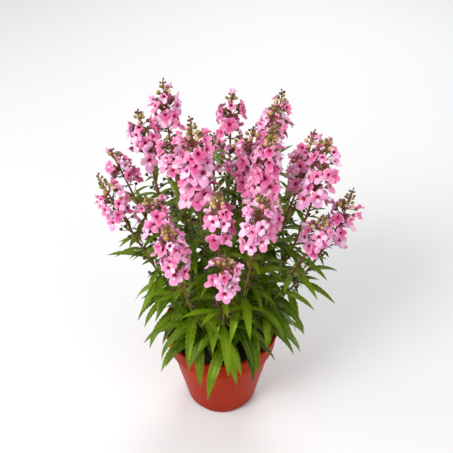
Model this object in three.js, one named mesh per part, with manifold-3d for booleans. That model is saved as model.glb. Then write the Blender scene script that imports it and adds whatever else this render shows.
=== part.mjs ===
import * as THREE from 'three';
import { mergeVertices } from 'three/addons/utils/BufferGeometryUtils.js';
import Module from 'manifold-3d';

const wasm = await Module();
wasm.setup();

// Potted angelonia in millimetres, +Z up, origin at the middle of the pot's base.
// Its front, the side with most of the low blooms, faces -Y.

// Pot: a thin moulded shell with a rolled lip, a collar and a tapered wall
const POT_HEIGHT = 117;
const LIP_RADIUS = 65;
const LIP_HEIGHT = 4.5;
const LIP_ROLL = 2;
const LIP_EDGE = 1;
const LIP_UNDERCUT = 0.5;
const COLLAR_HEIGHT = 25;
const COLLAR_RADIUS = 62.8;
const COLLAR_TAPER = 1;
const STEP_DROP = 1;
const WALL_TOP_RADIUS = 58.5;
const FOOT_RADIUS = 41;
const FOOT_ROUNDING = 3;
const POT_WALL = 1.5;
const POT_SIDES = 24;
const SLOT_COUNT = 5;
const SLOT_SIZE = { out: 16, along: 20, up: 4.6 };
const SLOT_RADIUS = 40;
const SLOT_TURN = THREE.MathUtils.degToRad(-126);

// Soil and the clearance that neighbouring pieces keep
const FIT_GAP = 0.35;
const SOIL_BELOW_LIP = 12;
const SOIL_LEVEL = POT_HEIGHT - SOIL_BELOW_LIP;
const SOIL_RINGS = [44, 24];
const SOIL_LUMP = 0.9;
const SOIL_WAVE = { alongX: 0.11, shiftX: 1.3, alongY: 0.13, shiftY: 0.4 };
const HOLE_DEPTH = 20;
const HOLE_SIDES = 5;

// Stems: four-sided. A foot stands at a share of its tip's distance from the axis, and each
// stem is turned from the last by a share of a full turn.
const FOOT_SHARE = 0.24;
const STEM_RADIUS = 1.9;
const SPLIT_RADIUS = 1.4;
const TIP_RADIUS = 0.8;
const STEM_SIDES = 4;
const STEM_STRAIGHT = 4;
const STEM_START = SOIL_LEVEL + STEM_STRAIGHT;
const BARE_BELOW_BLOOM = 8;
const NODE_HEIGHT = 3;
const SHOOT_TURN_STEP = 0.37;
const SEED = { first: 1000, step: 17 };

// Each shoot: where its tip stands, how long its buds and its bloom reach down from it,
// and how far its stem swings out before it turns up (0.5 is a straight stem)
const SHOOTS = [
  { tip: [-55, 62, 387], buds: 20, bloom: 38, swing: 0.9 },
  { tip: [-45, 0, 363], buds: 8, bloom: 35, swing: 0.7 },
  { tip: [-79, 40, 366], buds: 14, bloom: 42, swing: 0.7 },
  { tip: [-107, 30, 328], buds: 11, bloom: 32, swing: 0.5 },
  { tip: [-112, -20, 334], buds: 24, bloom: 38, swing: 0.55 },
  { tip: [-65, -45, 326], buds: 11, bloom: 40, swing: 0.6 },
  { tip: [-45, -85, 328], buds: 18, bloom: 48, swing: 0.8 },
  { tip: [-25, -25, 398], buds: 26, bloom: 66, swing: 0.6 },
  { tip: [11, 75, 364], buds: 10, bloom: 38, swing: 0.6 },
  { tip: [19, 45, 337], buds: 16, bloom: 31, swing: 0.5 },
  { tip: [30, 10, 365], buds: 13, bloom: 46, swing: 0.55 },
  { tip: [61, 70, 371], buds: 18, bloom: 32, swing: 0.6 },
  { tip: [51, 28, 378], buds: 10, bloom: 40, swing: 0.55 },
  { tip: [48, -25, 395], buds: 30, bloom: 64, swing: 0.55 },
  { tip: [90, 30, 350], buds: 20, bloom: 46, swing: 0.7 },
  { tip: [97, -15, 369], buds: 12, bloom: 62, swing: 0.85 },
  { tip: [128, 0, 302], buds: 26, bloom: 50, swing: 0.85 },
  { tip: [96, -45, 306], buds: 18, bloom: 30, swing: 0.7 },
  { tip: [-1, -62, 348], buds: 24, bloom: 38, swing: 0.6 },
  { tip: [36, -80, 354], buds: 10, bloom: 52, swing: 0.7 },
  { tip: [47, -46, 319], buds: 8, bloom: 30, swing: 0.6 },
  { tip: [4, -95, 301], buds: 14, bloom: 38, swing: 0.8 },
  { tip: [-9, 102, 300], buds: 10, bloom: 30, swing: 0.7 },
  { tip: [-52, 98, 292], buds: 12, bloom: 30, swing: 0.75 },
  { tip: [43, 104, 294], buds: 12, bloom: 32, swing: 0.75 },
  { tip: [88, 84, 290], buds: 12, bloom: 30, swing: 0.75 },
];

// Short leafy side shoots at the crown, whose leaves hang over the rim: where each one's
// foot stands round the soil, and how tall it is
const SIDE_SHOOTS = [
  { turn: -132, out: 28, tall: 52 },
  { turn: -103, out: 27, tall: 48 },
  { turn: -74, out: 27, tall: 54 },
  { turn: -40, out: 29, tall: 48 },
  { turn: 84, out: 35, tall: 50 },
  { turn: 172, out: 35, tall: 48 },
];
const SIDE_SHOOT_LEAN = 0.4;
const SIDE_SHOOT_PAIRS = 5;
const SIDE_SHOOT_LEAF_SHARE = 0.5;
const SIDE_SHOOT_TURN = 45;

// Leaves stand in pairs, each pair a quarter turn from the last, and grow shorter, narrower
// and steeper up the stem. Rise and fall are a blade's slopes at its root and its tip; a
// blade bends the sooner, the smaller LEAF_BEND is, and LEAF_FALL.hold keeps low leaves hanging.
const PAIR_SPACING = 29.5;
const FIRST_PAIR_AT = 0.35;
const LEAF_LONGEST = 78;
const LEAF_SHORTEST = 20;
const LEAF_SHRINK = 0.75;
const LEAF_LENGTH_SPREAD = 0.12;
const LEAF_TURN_SPREAD = 8;
const LEAF_WIDTH = { least: 1.5, share: 0.13 };
const BLADE_TAPER = 0.8;
const BLADE_FULLNESS = 0.9;
const LEAF_RISE = { low: 48, high: 58, spread: 8 };
const LEAF_FALL = { low: -88, high: 14, spread: 12, hold: 1.6 };
const LEAF_BEND = 0.62;
const LEAN_SHARE = 0.6;
const LEAF_KEEL = 1;
const LEAF_CUP = 0.16;
const LEAF_TOOTH = 0.09;
const LEAF_SAMPLES = 24;
const LEAF_RINGS = [
  { longerThan: 56, shares: [0.2, 0.5, 0.8] },
  { longerThan: 34, shares: [0.3, 0.7] },
  { longerThan: 0, shares: [0.45] },
];

// Lengths, tilts and turns that a leaf tries, in this order, until it lies clear
const LEAF_LENGTHS = [1, 0.84, 0.68, 0.54];
const LEAF_TILTS = [0, 12, -12];
const LEAF_TURNS = [0, 12, -12, 24, -24, 36, -36];

// Flowers stand in pairs: five lobes round a sunk throat, the lowest lobe the largest.
// Turns run from the lowest lobe towards the right, seen from in front.
const FLOWER_PAIR_SPACING = 11.5;
const FLOWER_RADIUS = 9.4;
const FLOWER_TOP_SHRINK = 0.2;
const FLOWER_SIZE_SPREAD = 0.06;
const FLOWER_TURN_SPREAD = 12;
const FLOWER_LOBES = [
  { turn: 0, reach: 1.08, forward: 2.2 },
  { turn: 76, reach: 0.92, forward: 0.6 },
  { turn: 148, reach: 0.84, forward: -0.6 },
  { turn: 212, reach: 0.84, forward: -0.6 },
  { turn: 284, reach: 0.92, forward: 0.6 },
];
const LOBE_NOTCH = 0.58;
const NOTCH_BACK = 0.4;
const THROAT_DEPTH = 1.6;
const TUBE_DEPTH = 4.6;
const NECK_RADIUS = 1.2;
const STALK_REACH = 7.5;
const STALK_RISE = { middle: 36, spread: 14 };
const FACE_RISE = 16;
const FLOWER_TURNS = [0, 18, -18, 36, -36];

// Buds stand in pairs too, and grow shorter towards the tip
const BUD_PAIRS = 3;
const BUD_LENGTH = 8;
const BUD_RADIUS = 1.9;
const BUD_RISE = 48;
const BUD_SHRINK = 0.2;
const BUD_BELLY = 0.6;
const BUD_PAIR_AT = 0.8;

// Clearance beads: every blade, stem and flower is stood for by small spheres
const BEAD_CELL = 10;
const BEAD_GAP = 0.6;
const ROOT_FREE_REACH = 9;
const BLADE_BEADS = [-0.8, -0.4, 0, 0.4, 0.8];
const BLADE_BEAD_SHARE = 0.2;
const BLADE_BEAD_LEAST = 0.45;
const STEM_BEADS = 50;
const FLOWER_BEADS = { middle: 3, lobeAt: 0.7, lobeShare: 0.26, stalkAt: 0.6, stalk: 1 };

// Degrees round the corners of a three-sided section
const THIRDS = [0, 120, 240];

const rad = THREE.MathUtils.degToRad;
const vec = (x, y, z) => new THREE.Vector3(x, y, z);

/** Seeded random numbers from 0 to 1 (mulberry32). */
function makeRandom(seed) {
  let state = seed >>> 0;
  return () => {
    state = (state + 0x6d2b79f5) >>> 0;
    let mixed = Math.imul(state ^ (state >>> 15), 1 | state);
    mixed = (mixed + Math.imul(mixed ^ (mixed >>> 7), 61 | mixed)) ^ mixed;
    return ((mixed ^ (mixed >>> 14)) >>> 0) / 4294967296;
  };
}

/** The solid of a closed geometry, turned outside out if it is inside out. */
function solidOf(geometry) {
  const bare = geometry.clone();
  bare.deleteAttribute('normal');
  bare.deleteAttribute('uv');
  const merged = mergeVertices(bare, 1e-4);
  const triVerts = Uint32Array.from(merged.index.array);
  const vertProperties = Float32Array.from(merged.attributes.position.array);
  if (signedVolume(vertProperties, triVerts) < 0) {
    for (let i = 0; i < triVerts.length; i += 3) {
      [triVerts[i], triVerts[i + 1]] = [triVerts[i + 1], triVerts[i]];
    }
  }
  return new wasm.Manifold(new wasm.Mesh({ numProp: 3, vertProperties, triVerts }));
}

/** Six times the volume that a triangle mesh encloses, negative if it is inside out. */
function signedVolume(positions, indices) {
  const corner = (i) => new THREE.Vector3().fromArray(positions, indices[i] * 3);
  let sum = 0;
  for (let i = 0; i < indices.length; i += 3) {
    sum += corner(i).dot(corner(i + 1).cross(corner(i + 2)));
  }
  return sum;
}

/** The largest closed body of a solid, as a geometry. */
function geometryOf(solid) {
  const largest = solid.decompose().sort((a, b) => b.volume() - a.volume())[0];
  const mesh = largest.getMesh();
  const geometry = new THREE.BufferGeometry();
  const positions = Float32Array.from(mesh.vertProperties);
  geometry.setAttribute('position', new THREE.BufferAttribute(positions, 3));
  geometry.setIndex(new THREE.BufferAttribute(Uint32Array.from(mesh.triVerts), 1));
  geometry.computeVertexNormals();
  return geometry;
}

/**
 * A closed skin of triangles that grows ring by ring. Rings run the same way round, seen
 * against the way the skin grows. A side of a band can be left open and grown from.
 */
class Skin {
  constructor() {
    this.points = [];
    this.indices = [];
  }

  ring(points) {
    this.points.push(...points);
    return points.map((_, i) => this.points.length - points.length + i);
  }

  /**
   * Bridges two rings, each side folded one way or, if mirrored, the other. `growths` gives,
   * for some sides, how far what grows there is turned from the side's own direction.
   * Returns the three-cornered opening left in each of them, which has its lower corner
   * where the growth turns to and is mirrored if that is to the right.
   */
  band(low, high, growths = {}, mirrored = false) {
    const openings = {};
    low.forEach((corner, side) => {
      const next = (side + 1) % low.length;
      const toRight = side in growths ? growths[side] > 0 : mirrored;
      if (toRight) {
        this.indices.push(corner, low[next], high[side]);
      } else {
        this.indices.push(corner, low[next], high[next]);
      }
      const rest = [toRight ? low[next] : corner, high[next], high[side]];
      if (side in growths) {
        openings[side] = { ring: rest, mirrored: toRight };
      } else {
        this.indices.push(...rest);
      }
    });
    return openings;
  }

  grow(ring, points, mirrored = false) {
    const next = this.ring(points);
    this.band(ring, next, {}, mirrored);
    return next;
  }

  /** Closes a ring with a cone to one point. */
  point(ring, place) {
    const [tip] = this.ring([place]);
    ring.forEach((corner, i) => this.indices.push(corner, ring[(i + 1) % ring.length], tip));
  }

  /** Closes the first ring with a flat face that looks back. */
  base(ring) {
    for (let i = 1; i + 1 < ring.length; i++) {
      this.indices.push(ring[0], ring[i + 1], ring[i]);
    }
  }

  /** Closes the last ring with a flat face that looks ahead. */
  top(ring) {
    this.base([...ring].reverse());
  }

  geometry() {
    const geometry = new THREE.BufferGeometry().setFromPoints(this.points).setIndex(this.indices);
    geometry.computeVertexNormals();
    return geometry;
  }
}

/** The pot's outline from the axis outwards, as points of radius and height. */
function potOutline() {
  const collarFoot = POT_HEIGHT - COLLAR_HEIGHT;
  const lipFoot = POT_HEIGHT - LIP_HEIGHT;
  return [
    [0, 0],
    [FOOT_RADIUS - FOOT_ROUNDING, 0],
    [FOOT_RADIUS, FOOT_ROUNDING],
    [WALL_TOP_RADIUS, collarFoot - STEP_DROP],
    [COLLAR_RADIUS - COLLAR_TAPER, collarFoot],
    [COLLAR_RADIUS, lipFoot - STEP_DROP],
    [LIP_RADIUS - LIP_UNDERCUT, lipFoot],
    [LIP_RADIUS, POT_HEIGHT - LIP_ROLL],
    [LIP_RADIUS - LIP_EDGE, POT_HEIGHT],
  ];
}

/** The pot's inner face from the lip down to the axis, moved inwards by `gap`. */
function potLining(gap) {
  const collarFoot = POT_HEIGHT - COLLAR_HEIGHT;
  const inner = POT_WALL + gap;
  return [
    [LIP_RADIUS - LIP_ROLL - LIP_EDGE - gap, POT_HEIGHT],
    [COLLAR_RADIUS - inner, POT_HEIGHT - LIP_HEIGHT],
    [COLLAR_RADIUS - COLLAR_TAPER - inner, collarFoot + inner],
    [WALL_TOP_RADIUS - inner, collarFoot - STEP_DROP + inner],
    [FOOT_RADIUS - inner, FOOT_ROUNDING + gap],
    [FOOT_RADIUS - FOOT_ROUNDING - inner, inner],
    [0, inner],
  ];
}

/** An outline of radius and height turned into a closed shape round the Z axis. */
function turned(outline) {
  const points = outline.map(([radius, height]) => new THREE.Vector2(radius, height));
  return new THREE.LatheGeometry(points, POT_SIDES).rotateX(Math.PI / 2);
}

function makePot() {
  let pot = solidOf(turned([...potOutline(), ...potLining(0)]));
  for (let i = 0; i < SLOT_COUNT; i++) {
    const slot = new THREE.BoxGeometry(SLOT_SIZE.out, SLOT_SIZE.along, 2 * SLOT_SIZE.up);
    slot.translate(SLOT_RADIUS, 0, 0).rotateZ(SLOT_TURN + (i / SLOT_COUNT) * 2 * Math.PI);
    pot = pot.subtract(solidOf(slot));
  }
  return geometryOf(pot);
}

/** Height of the soil's uneven top above its level. */
function soilLump(x, y) {
  const { alongX, shiftX, alongY, shiftY } = SOIL_WAVE;
  return SOIL_LUMP * Math.sin(alongX * x + shiftX) * Math.cos(alongY * y + shiftY);
}

function makeSoil(shoots) {
  const lining = potLining(FIT_GAP).filter(([, height]) => height < SOIL_LEVEL);
  const edge = COLLAR_RADIUS - COLLAR_TAPER - POT_WALL - FIT_GAP;
  const top = [...SOIL_RINGS].reverse().map((radius) => [radius, SOIL_LEVEL]);
  const shape = turned([[0, SOIL_LEVEL], ...top, [edge, SOIL_LEVEL], ...lining]);
  const place = shape.attributes.position;
  for (let i = 0; i < place.count; i++) {
    if (place.getZ(i) > SOIL_LEVEL - 0.01) {
      place.setZ(i, SOIL_LEVEL + soilLump(place.getX(i), place.getY(i)));
    }
  }
  let soil = solidOf(shape);
  const holeRadius = (STEM_RADIUS + FIT_GAP) / Math.cos(Math.PI / HOLE_SIDES);
  for (const shoot of shoots) {
    const hole = new THREE.CylinderGeometry(holeRadius, holeRadius, 2 * HOLE_DEPTH, HOLE_SIDES);
    hole.rotateX(Math.PI / 2).translate(shoot.foot.x, shoot.foot.y, SOIL_LEVEL);
    soil = soil.subtract(solidOf(hole));
  }
  return geometryOf(soil);
}

/** The path of one shoot and the shares of it that carry leaves, flowers and buds. */
function planShoot({ tip, buds, bloom, swing }, index) {
  const end = vec(...tip);
  const foot = vec(FOOT_SHARE * end.x, FOOT_SHARE * end.y, STEM_START);
  const bend = foot.clone().lerp(end, swing);
  bend.z = (foot.z + end.z) / 2;
  const length = foot.distanceTo(end);
  return {
    curve: new THREE.QuadraticBezierCurve3(foot, bend, end),
    foot,
    index,
    length,
    bloom,
    flowerPairs: Math.round(bloom / FLOWER_PAIR_SPACING),
    budShare: 1 - buds / length,
    bloomShare: 1 - (buds + bloom) / length,
    splitShare: 1 - (buds + bloom + BARE_BELOW_BLOOM) / length,
    leafShare: 1,
    pairs: Math.round((length - buds - bloom - BARE_BELOW_BLOOM) / PAIR_SPACING),
    turn: rad(360 * ((index * SHOOT_TURN_STEP) % 1)),
    random: makeRandom(SEED.first + SEED.step * index),
    leaves: [],
    flowers: [],
  };
}

/** The path of one short side shoot, which carries leaves only. */
function planSideShoot({ turn, out, tall }, order) {
  const outward = vec(Math.cos(rad(turn)), Math.sin(rad(turn)), 0);
  const foot = outward.clone().multiplyScalar(out).setZ(STEM_START);
  const end = foot.clone().addScaledVector(outward, SIDE_SHOOT_LEAN * tall).add(vec(0, 0, tall));
  const bend = foot.clone().lerp(end, 0.5);
  const index = SHOOTS.length + order;
  return {
    curve: new THREE.QuadraticBezierCurve3(foot, bend, end),
    foot,
    index,
    length: foot.distanceTo(end),
    splitShare: 1,
    leafShare: SIDE_SHOOT_LEAF_SHARE,
    pairs: SIDE_SHOOT_PAIRS,
    turn: rad(turn + SIDE_SHOOT_TURN),
    random: makeRandom(SEED.first + SEED.step * index),
    leaves: [],
    flowers: [],
  };
}

/** How far the stem leans towards `outward` at a share of its path, in radians. */
function leanAt(shoot, share, outward) {
  const along = shoot.curve.getTangent(share);
  return Math.atan2(along.z, along.dot(outward)) - Math.PI / 2;
}

function stemRadiusAt(shoot, share) {
  if (share < shoot.splitShare) {
    return THREE.MathUtils.lerp(STEM_RADIUS, SPLIT_RADIUS, share / shoot.splitShare);
  }
  const above = (share - shoot.splitShare) / (1 - shoot.splitShare);
  return THREE.MathUtils.lerp(SPLIT_RADIUS, TIP_RADIUS, above);
}

/** Direction of one of a pair: its two point apart, and each pair is a quarter turn on. */
function pairTurn(shoot, pair, side) {
  return shoot.turn + rad(90 * pair + 180 * side);
}

/** The stem's four corners at a share of its path; a side faces each pair of leaves. */
function stemRing(shoot, share, centre = shoot.curve.getPoint(share)) {
  const radius = stemRadiusAt(shoot, share);
  return Array.from({ length: STEM_SIDES }, (_, i) => {
    const angle = shoot.turn + ((i - 0.5) / STEM_SIDES) * 2 * Math.PI;
    return centre.clone().add(vec(radius * Math.cos(angle), radius * Math.sin(angle), 0));
  });
}

/** Small spheres in a grid of cells, asked whether a new one would touch them. */
class BeadField {
  constructor() {
    this.cells = new Map();
  }

  cellOf(value) {
    return Math.floor(value / BEAD_CELL);
  }

  add(beads) {
    for (const bead of beads) {
      const key = `${this.cellOf(bead.x)},${this.cellOf(bead.y)},${this.cellOf(bead.z)}`;
      if (!this.cells.has(key)) {
        this.cells.set(key, []);
      }
      this.cells.get(key).push(bead);
    }
  }

  near(bead) {
    const found = [];
    const [cx, cy, cz] = [this.cellOf(bead.x), this.cellOf(bead.y), this.cellOf(bead.z)];
    for (let x = cx - 1; x <= cx + 1; x++) {
      for (let y = cy - 1; y <= cy + 1; y++) {
        for (let z = cz - 1; z <= cz + 1; z++) {
          found.push(...(this.cells.get(`${x},${y},${z}`) ?? []));
        }
      }
    }
    return found;
  }

  /** True if no bead touches another, but for a root, its own stem and its pair's root. */
  isClear(beads) {
    return beads.every((bead) => this.near(bead).every((other) => {
      const joined = bead.root && (other.root === bead.root || other.root === 'stem');
      if (joined && other.shoot === bead.shoot) {
        return true;
      }
      const apart = Math.hypot(bead.x - other.x, bead.y - other.y, bead.z - other.z);
      return apart > bead.radius + other.radius + BEAD_GAP;
    }));
  }
}

/** Distance from a point to the line between two others, all as radius and height. */
function distanceToLine(radius, height, [r0, h0], [r1, h1]) {
  const along = (radius - r0) * (r1 - r0) + (height - h0) * (h1 - h0);
  const share = Math.min(1, Math.max(0, along / ((r1 - r0) ** 2 + (h1 - h0) ** 2)));
  return Math.hypot(radius - r0 - share * (r1 - r0), height - h0 - share * (h1 - h0));
}

/** True if the beads keep off the pot's wall and the soil. */
function isClearOfPot(beads) {
  const outline = potOutline();
  return beads.every(({ x, y, z, radius }) => {
    const out = Math.hypot(x, y);
    if (out < LIP_RADIUS && z < SOIL_LEVEL + SOIL_LUMP + radius + BEAD_GAP) {
      return false;
    }
    const keep = radius + POT_WALL + BEAD_GAP;
    return outline.every((point, i) => i === 0 || distanceToLine(out, z, outline[i - 1], point) > keep);
  });
}

function stemBeads(shoot) {
  return Array.from({ length: STEM_BEADS + 1 }, (_, i) => {
    const share = i / STEM_BEADS;
    const radius = stemRadiusAt(shoot, share);
    return { ...shoot.curve.getPoint(share), radius, shoot: shoot.index, root: 'stem' };
  });
}

/** Half the width of a blade at a share of its length: lance-shaped, with a long tip. */
function bladeHalf(leaf, share) {
  return (leaf.width / 2) * Math.sin(Math.PI * share ** BLADE_TAPER) ** BLADE_FULLNESS;
}

/** The blade's middle line: points that rise from the root and bend down to the tip. */
function bladeLine(leaf) {
  const points = [leaf.root];
  const step = leaf.length / LEAF_SAMPLES;
  let reach = 0;
  let lift = 0;
  for (let i = 0; i < LEAF_SAMPLES; i++) {
    const slope = leaf.rise + (leaf.fall - leaf.rise) * ((i + 0.5) / LEAF_SAMPLES) ** LEAF_BEND;
    reach += step * Math.cos(slope);
    lift += step * Math.sin(slope);
    const outward = vec(Math.cos(leaf.turn) * reach, Math.sin(leaf.turn) * reach, lift);
    points.push(leaf.root.clone().add(outward));
  }
  return points;
}

function leafBeads(leaf) {
  const across = vec(-Math.sin(leaf.turn), Math.cos(leaf.turn), 0);
  return bladeLine(leaf).slice(1).flatMap((middle, i) => {
    const half = bladeHalf(leaf, (i + 1) / LEAF_SAMPLES);
    const root = middle.distanceTo(leaf.root) < ROOT_FREE_REACH ? `leaves ${leaf.pair}` : null;
    return BLADE_BEADS.map((side) => ({
      ...middle.clone().addScaledVector(across, side * half),
      radius: BLADE_BEAD_SHARE * half + BLADE_BEAD_LEAST,
      shoot: leaf.shoot,
      root,
    }));
  });
}

/** Grows a blade from an opening: keeled below, its edge waving in and out ring by ring. */
function growLeaf(skin, opening, leaf) {
  const line = bladeLine(leaf);
  const across = vec(-Math.sin(leaf.turn), Math.cos(leaf.turn), 0);
  const { shares } = LEAF_RINGS.find(({ longerThan }) => leaf.length > longerThan);
  let { ring } = opening;
  shares.forEach((share, i) => {
    const sample = Math.round(share * LEAF_SAMPLES);
    const along = line[sample + 1].clone().sub(line[sample - 1]);
    const up = along.cross(across).normalize();
    const half = bladeHalf(leaf, share);
    const wave = half * LEAF_TOOTH * (i % 2 ? -1 : 1);
    const edge = line[sample].clone().addScaledVector(up, half * LEAF_CUP);
    ring = skin.grow(ring, [
      line[sample].clone().addScaledVector(up, -LEAF_KEEL),
      edge.clone().addScaledVector(across, half + wave),
      edge.clone().addScaledVector(across, wave - half),
    ], opening.mirrored);
  });
  skin.point(ring, line[LEAF_SAMPLES]);
}

/** Tries lengths, tilts and turns for one leaf; the first that lies clear is kept. */
function placeLeaf(shoot, pair, height, side, field) {
  const grown = height * shoot.leafShare;
  const blade = LEAF_SHORTEST + (LEAF_LONGEST - LEAF_SHORTEST) * (1 - grown) ** LEAF_SHRINK;
  const swing = () => 2 * shoot.random() - 1;
  const turn = pairTurn(shoot, pair, side) + rad(LEAF_TURN_SPREAD * swing());
  const length = blade * (1 + LEAF_LENGTH_SPREAD * swing());
  const rise = THREE.MathUtils.lerp(LEAF_RISE.low, LEAF_RISE.high, grown) + LEAF_RISE.spread * swing();
  const held = grown ** LEAF_FALL.hold;
  const fall = THREE.MathUtils.lerp(LEAF_FALL.low, LEAF_FALL.high, held) + LEAF_FALL.spread * swing();
  const share = height * shoot.splitShare;
  for (const scale of LEAF_LENGTHS) {
    for (const tilt of LEAF_TILTS) {
      for (const extra of LEAF_TURNS) {
        const outward = vec(Math.cos(turn + rad(extra)), Math.sin(turn + rad(extra)), 0);
        const leaf = {
          root: shoot.curve.getPoint(share),
          turn: turn + rad(extra),
          length: length * scale,
          width: LEAF_WIDTH.least + LEAF_WIDTH.share * length * scale,
          rise: rad(rise + tilt) + LEAN_SHARE * leanAt(shoot, share, outward),
          fall: rad(fall + tilt),
          shoot: shoot.index,
          pair,
          height,
          side,
        };
        const beads = leafBeads(leaf);
        if (isClearOfPot(beads) && field.isClear(beads)) {
          field.add(beads);
          return leaf;
        }
      }
    }
  }
  return null;
}

/** The frame of a flower that stands off the stem at one share, turn and slope. */
function planFlower(shoot, share, turn, rise, size) {
  const outward = vec(Math.cos(turn), Math.sin(turn), 0);
  const root = shoot.curve.getPoint(share);
  const slope = rise + LEAN_SHARE * leanAt(shoot, share, outward);
  const neck = root.clone()
    .addScaledVector(outward, STALK_REACH * Math.cos(slope))
    .add(vec(0, 0, STALK_REACH * Math.sin(slope)));
  const facing = outward.clone().multiplyScalar(Math.cos(rad(FACE_RISE)));
  facing.z = Math.sin(rad(FACE_RISE));
  const right = vec(-Math.sin(turn), Math.cos(turn), 0);
  const down = right.clone().cross(facing);
  const middle = neck.clone().addScaledVector(facing, TUBE_DEPTH);
  return { root, neck, middle, facing, right, down, size };
}

/** A point of a flower: `turn` from straight down to the right, `reach` in flower radii. */
function flowerPoint(flower, turn, reach, forward) {
  return flower.middle.clone()
    .addScaledVector(flower.down, flower.size * reach * Math.cos(rad(turn)))
    .addScaledVector(flower.right, flower.size * reach * Math.sin(rad(turn)))
    .addScaledVector(flower.facing, forward);
}

function flowerBeads(flower, shoot) {
  const loose = { shoot: shoot.index, root: null };
  const stalk = flower.root.clone().lerp(flower.neck, FLOWER_BEADS.stalkAt);
  return [
    { ...flower.middle, radius: FLOWER_BEADS.middle, ...loose },
    ...FLOWER_LOBES.map((lobe) => ({
      ...flowerPoint(flower, lobe.turn, FLOWER_BEADS.lobeAt * lobe.reach, lobe.forward),
      radius: FLOWER_BEADS.lobeShare * flower.size,
      ...loose,
    })),
    { ...stalk, radius: FLOWER_BEADS.stalk, shoot: shoot.index, root: `flowers ${flower.pair}` },
  ];
}

/** Grows a stalked flower from an opening: tube behind, lobed rim, sunk throat in front. */
function growFlower(skin, opening, flower) {
  const neck = skin.grow(opening.ring, THIRDS.map((turn) =>
    flowerPoint(flower, turn, NECK_RADIUS / flower.size, -TUBE_DEPTH)), opening.mirrored);
  const rim = skin.ring(FLOWER_LOBES.flatMap((lobe, i) => {
    const next = FLOWER_LOBES[(i + 1) % FLOWER_LOBES.length];
    const between = lobe.turn + ((next.turn - lobe.turn + 360) % 360) / 2;
    return [
      flowerPoint(flower, lobe.turn, lobe.reach, lobe.forward),
      flowerPoint(flower, between, LOBE_NOTCH, (lobe.forward + next.forward) / 2 - NOTCH_BACK),
    ];
  }));
  const neckOf = rim.map((_, i) => (
    neck[Math.floor((((i + 1) % rim.length) * neck.length) / rim.length)]
  ));
  rim.forEach((corner, i) => {
    const next = (i + 1) % rim.length;
    skin.indices.push(neckOf[i], rim[next], corner);
    if (neckOf[i] !== neckOf[next]) {
      skin.indices.push(neckOf[i], neckOf[next], rim[next]);
    }
  });
  skin.point(rim, flowerPoint(flower, 0, 0, -THROAT_DEPTH));
}

/** All flowers of one shoot that lie clear of the rest, pair by pair up the bloom. */
function placeFlowers(shoot, field) {
  for (let pair = 0; pair < shoot.flowerPairs; pair++) {
    const height = pair / shoot.flowerPairs;
    const share = THREE.MathUtils.lerp(shoot.bloomShare, shoot.budShare, height);
    for (let side = 0; side < 2; side++) {
      const swing = () => 2 * shoot.random() - 1;
      const size = FLOWER_RADIUS * (1 - FLOWER_TOP_SHRINK * height) * (1 + FLOWER_SIZE_SPREAD * swing());
      const rise = rad(STALK_RISE.middle + STALK_RISE.spread * swing());
      const base = pairTurn(shoot, pair, side) + rad(FLOWER_TURN_SPREAD * swing());
      for (const extra of FLOWER_TURNS) {
        const turn = base + rad(extra);
        const flower = { ...planFlower(shoot, share, turn, rise, size), share, turn, pair, side };
        const beads = flowerBeads(flower, shoot);
        if (field.isClear(beads)) {
          field.add(beads);
          shoot.flowers.push(flower);
          break;
        }
      }
    }
  }
}

/** Side of the stem that a leaf, flower or bud of a pair grows from. */
function sideOf({ pair, side }) {
  return (pair + 2 * side) % STEM_SIDES;
}

/** For each side of the stem that carries one of the items, how far the item is turned. */
function turnsBySide(shoot, items) {
  return Object.fromEntries(items.map((item) => {
    return [sideOf(item), item.turn - pairTurn(shoot, item.pair, item.side)];
  }));
}

/** The leafy stem: the stem from its foot to below the bloom, with its leaves grown on it. */
function makeLeafyStem(shoot) {
  const skin = new Skin();
  const low = vec(shoot.foot.x, shoot.foot.y, SOIL_LEVEL - HOLE_DEPTH + FIT_GAP);
  let ring = skin.ring(stemRing(shoot, 0, low));
  skin.base(ring);
  ring = skin.grow(ring, stemRing(shoot, 0));
  const half = NODE_HEIGHT / 2 / shoot.length;
  for (let pair = 0; pair < shoot.pairs; pair++) {
    const leaves = shoot.leaves.filter((leaf) => leaf.pair === pair);
    if (leaves.length > 0) {
      const share = leaves[0].height * shoot.splitShare;
      ring = skin.grow(ring, stemRing(shoot, share - half));
      const next = skin.ring(stemRing(shoot, share + half));
      const openings = skin.band(ring, next, turnsBySide(shoot, leaves));
      leaves.forEach((leaf) => growLeaf(skin, openings[sideOf(leaf)], leaf));
      ring = next;
    }
  }
  if (shoot.splitShare < 1) {
    skin.top(skin.grow(ring, stemRing(shoot, shoot.splitShare)));
  } else {
    skin.point(ring, shoot.curve.getPoint(1));
  }
  return skin.geometry();
}

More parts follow.
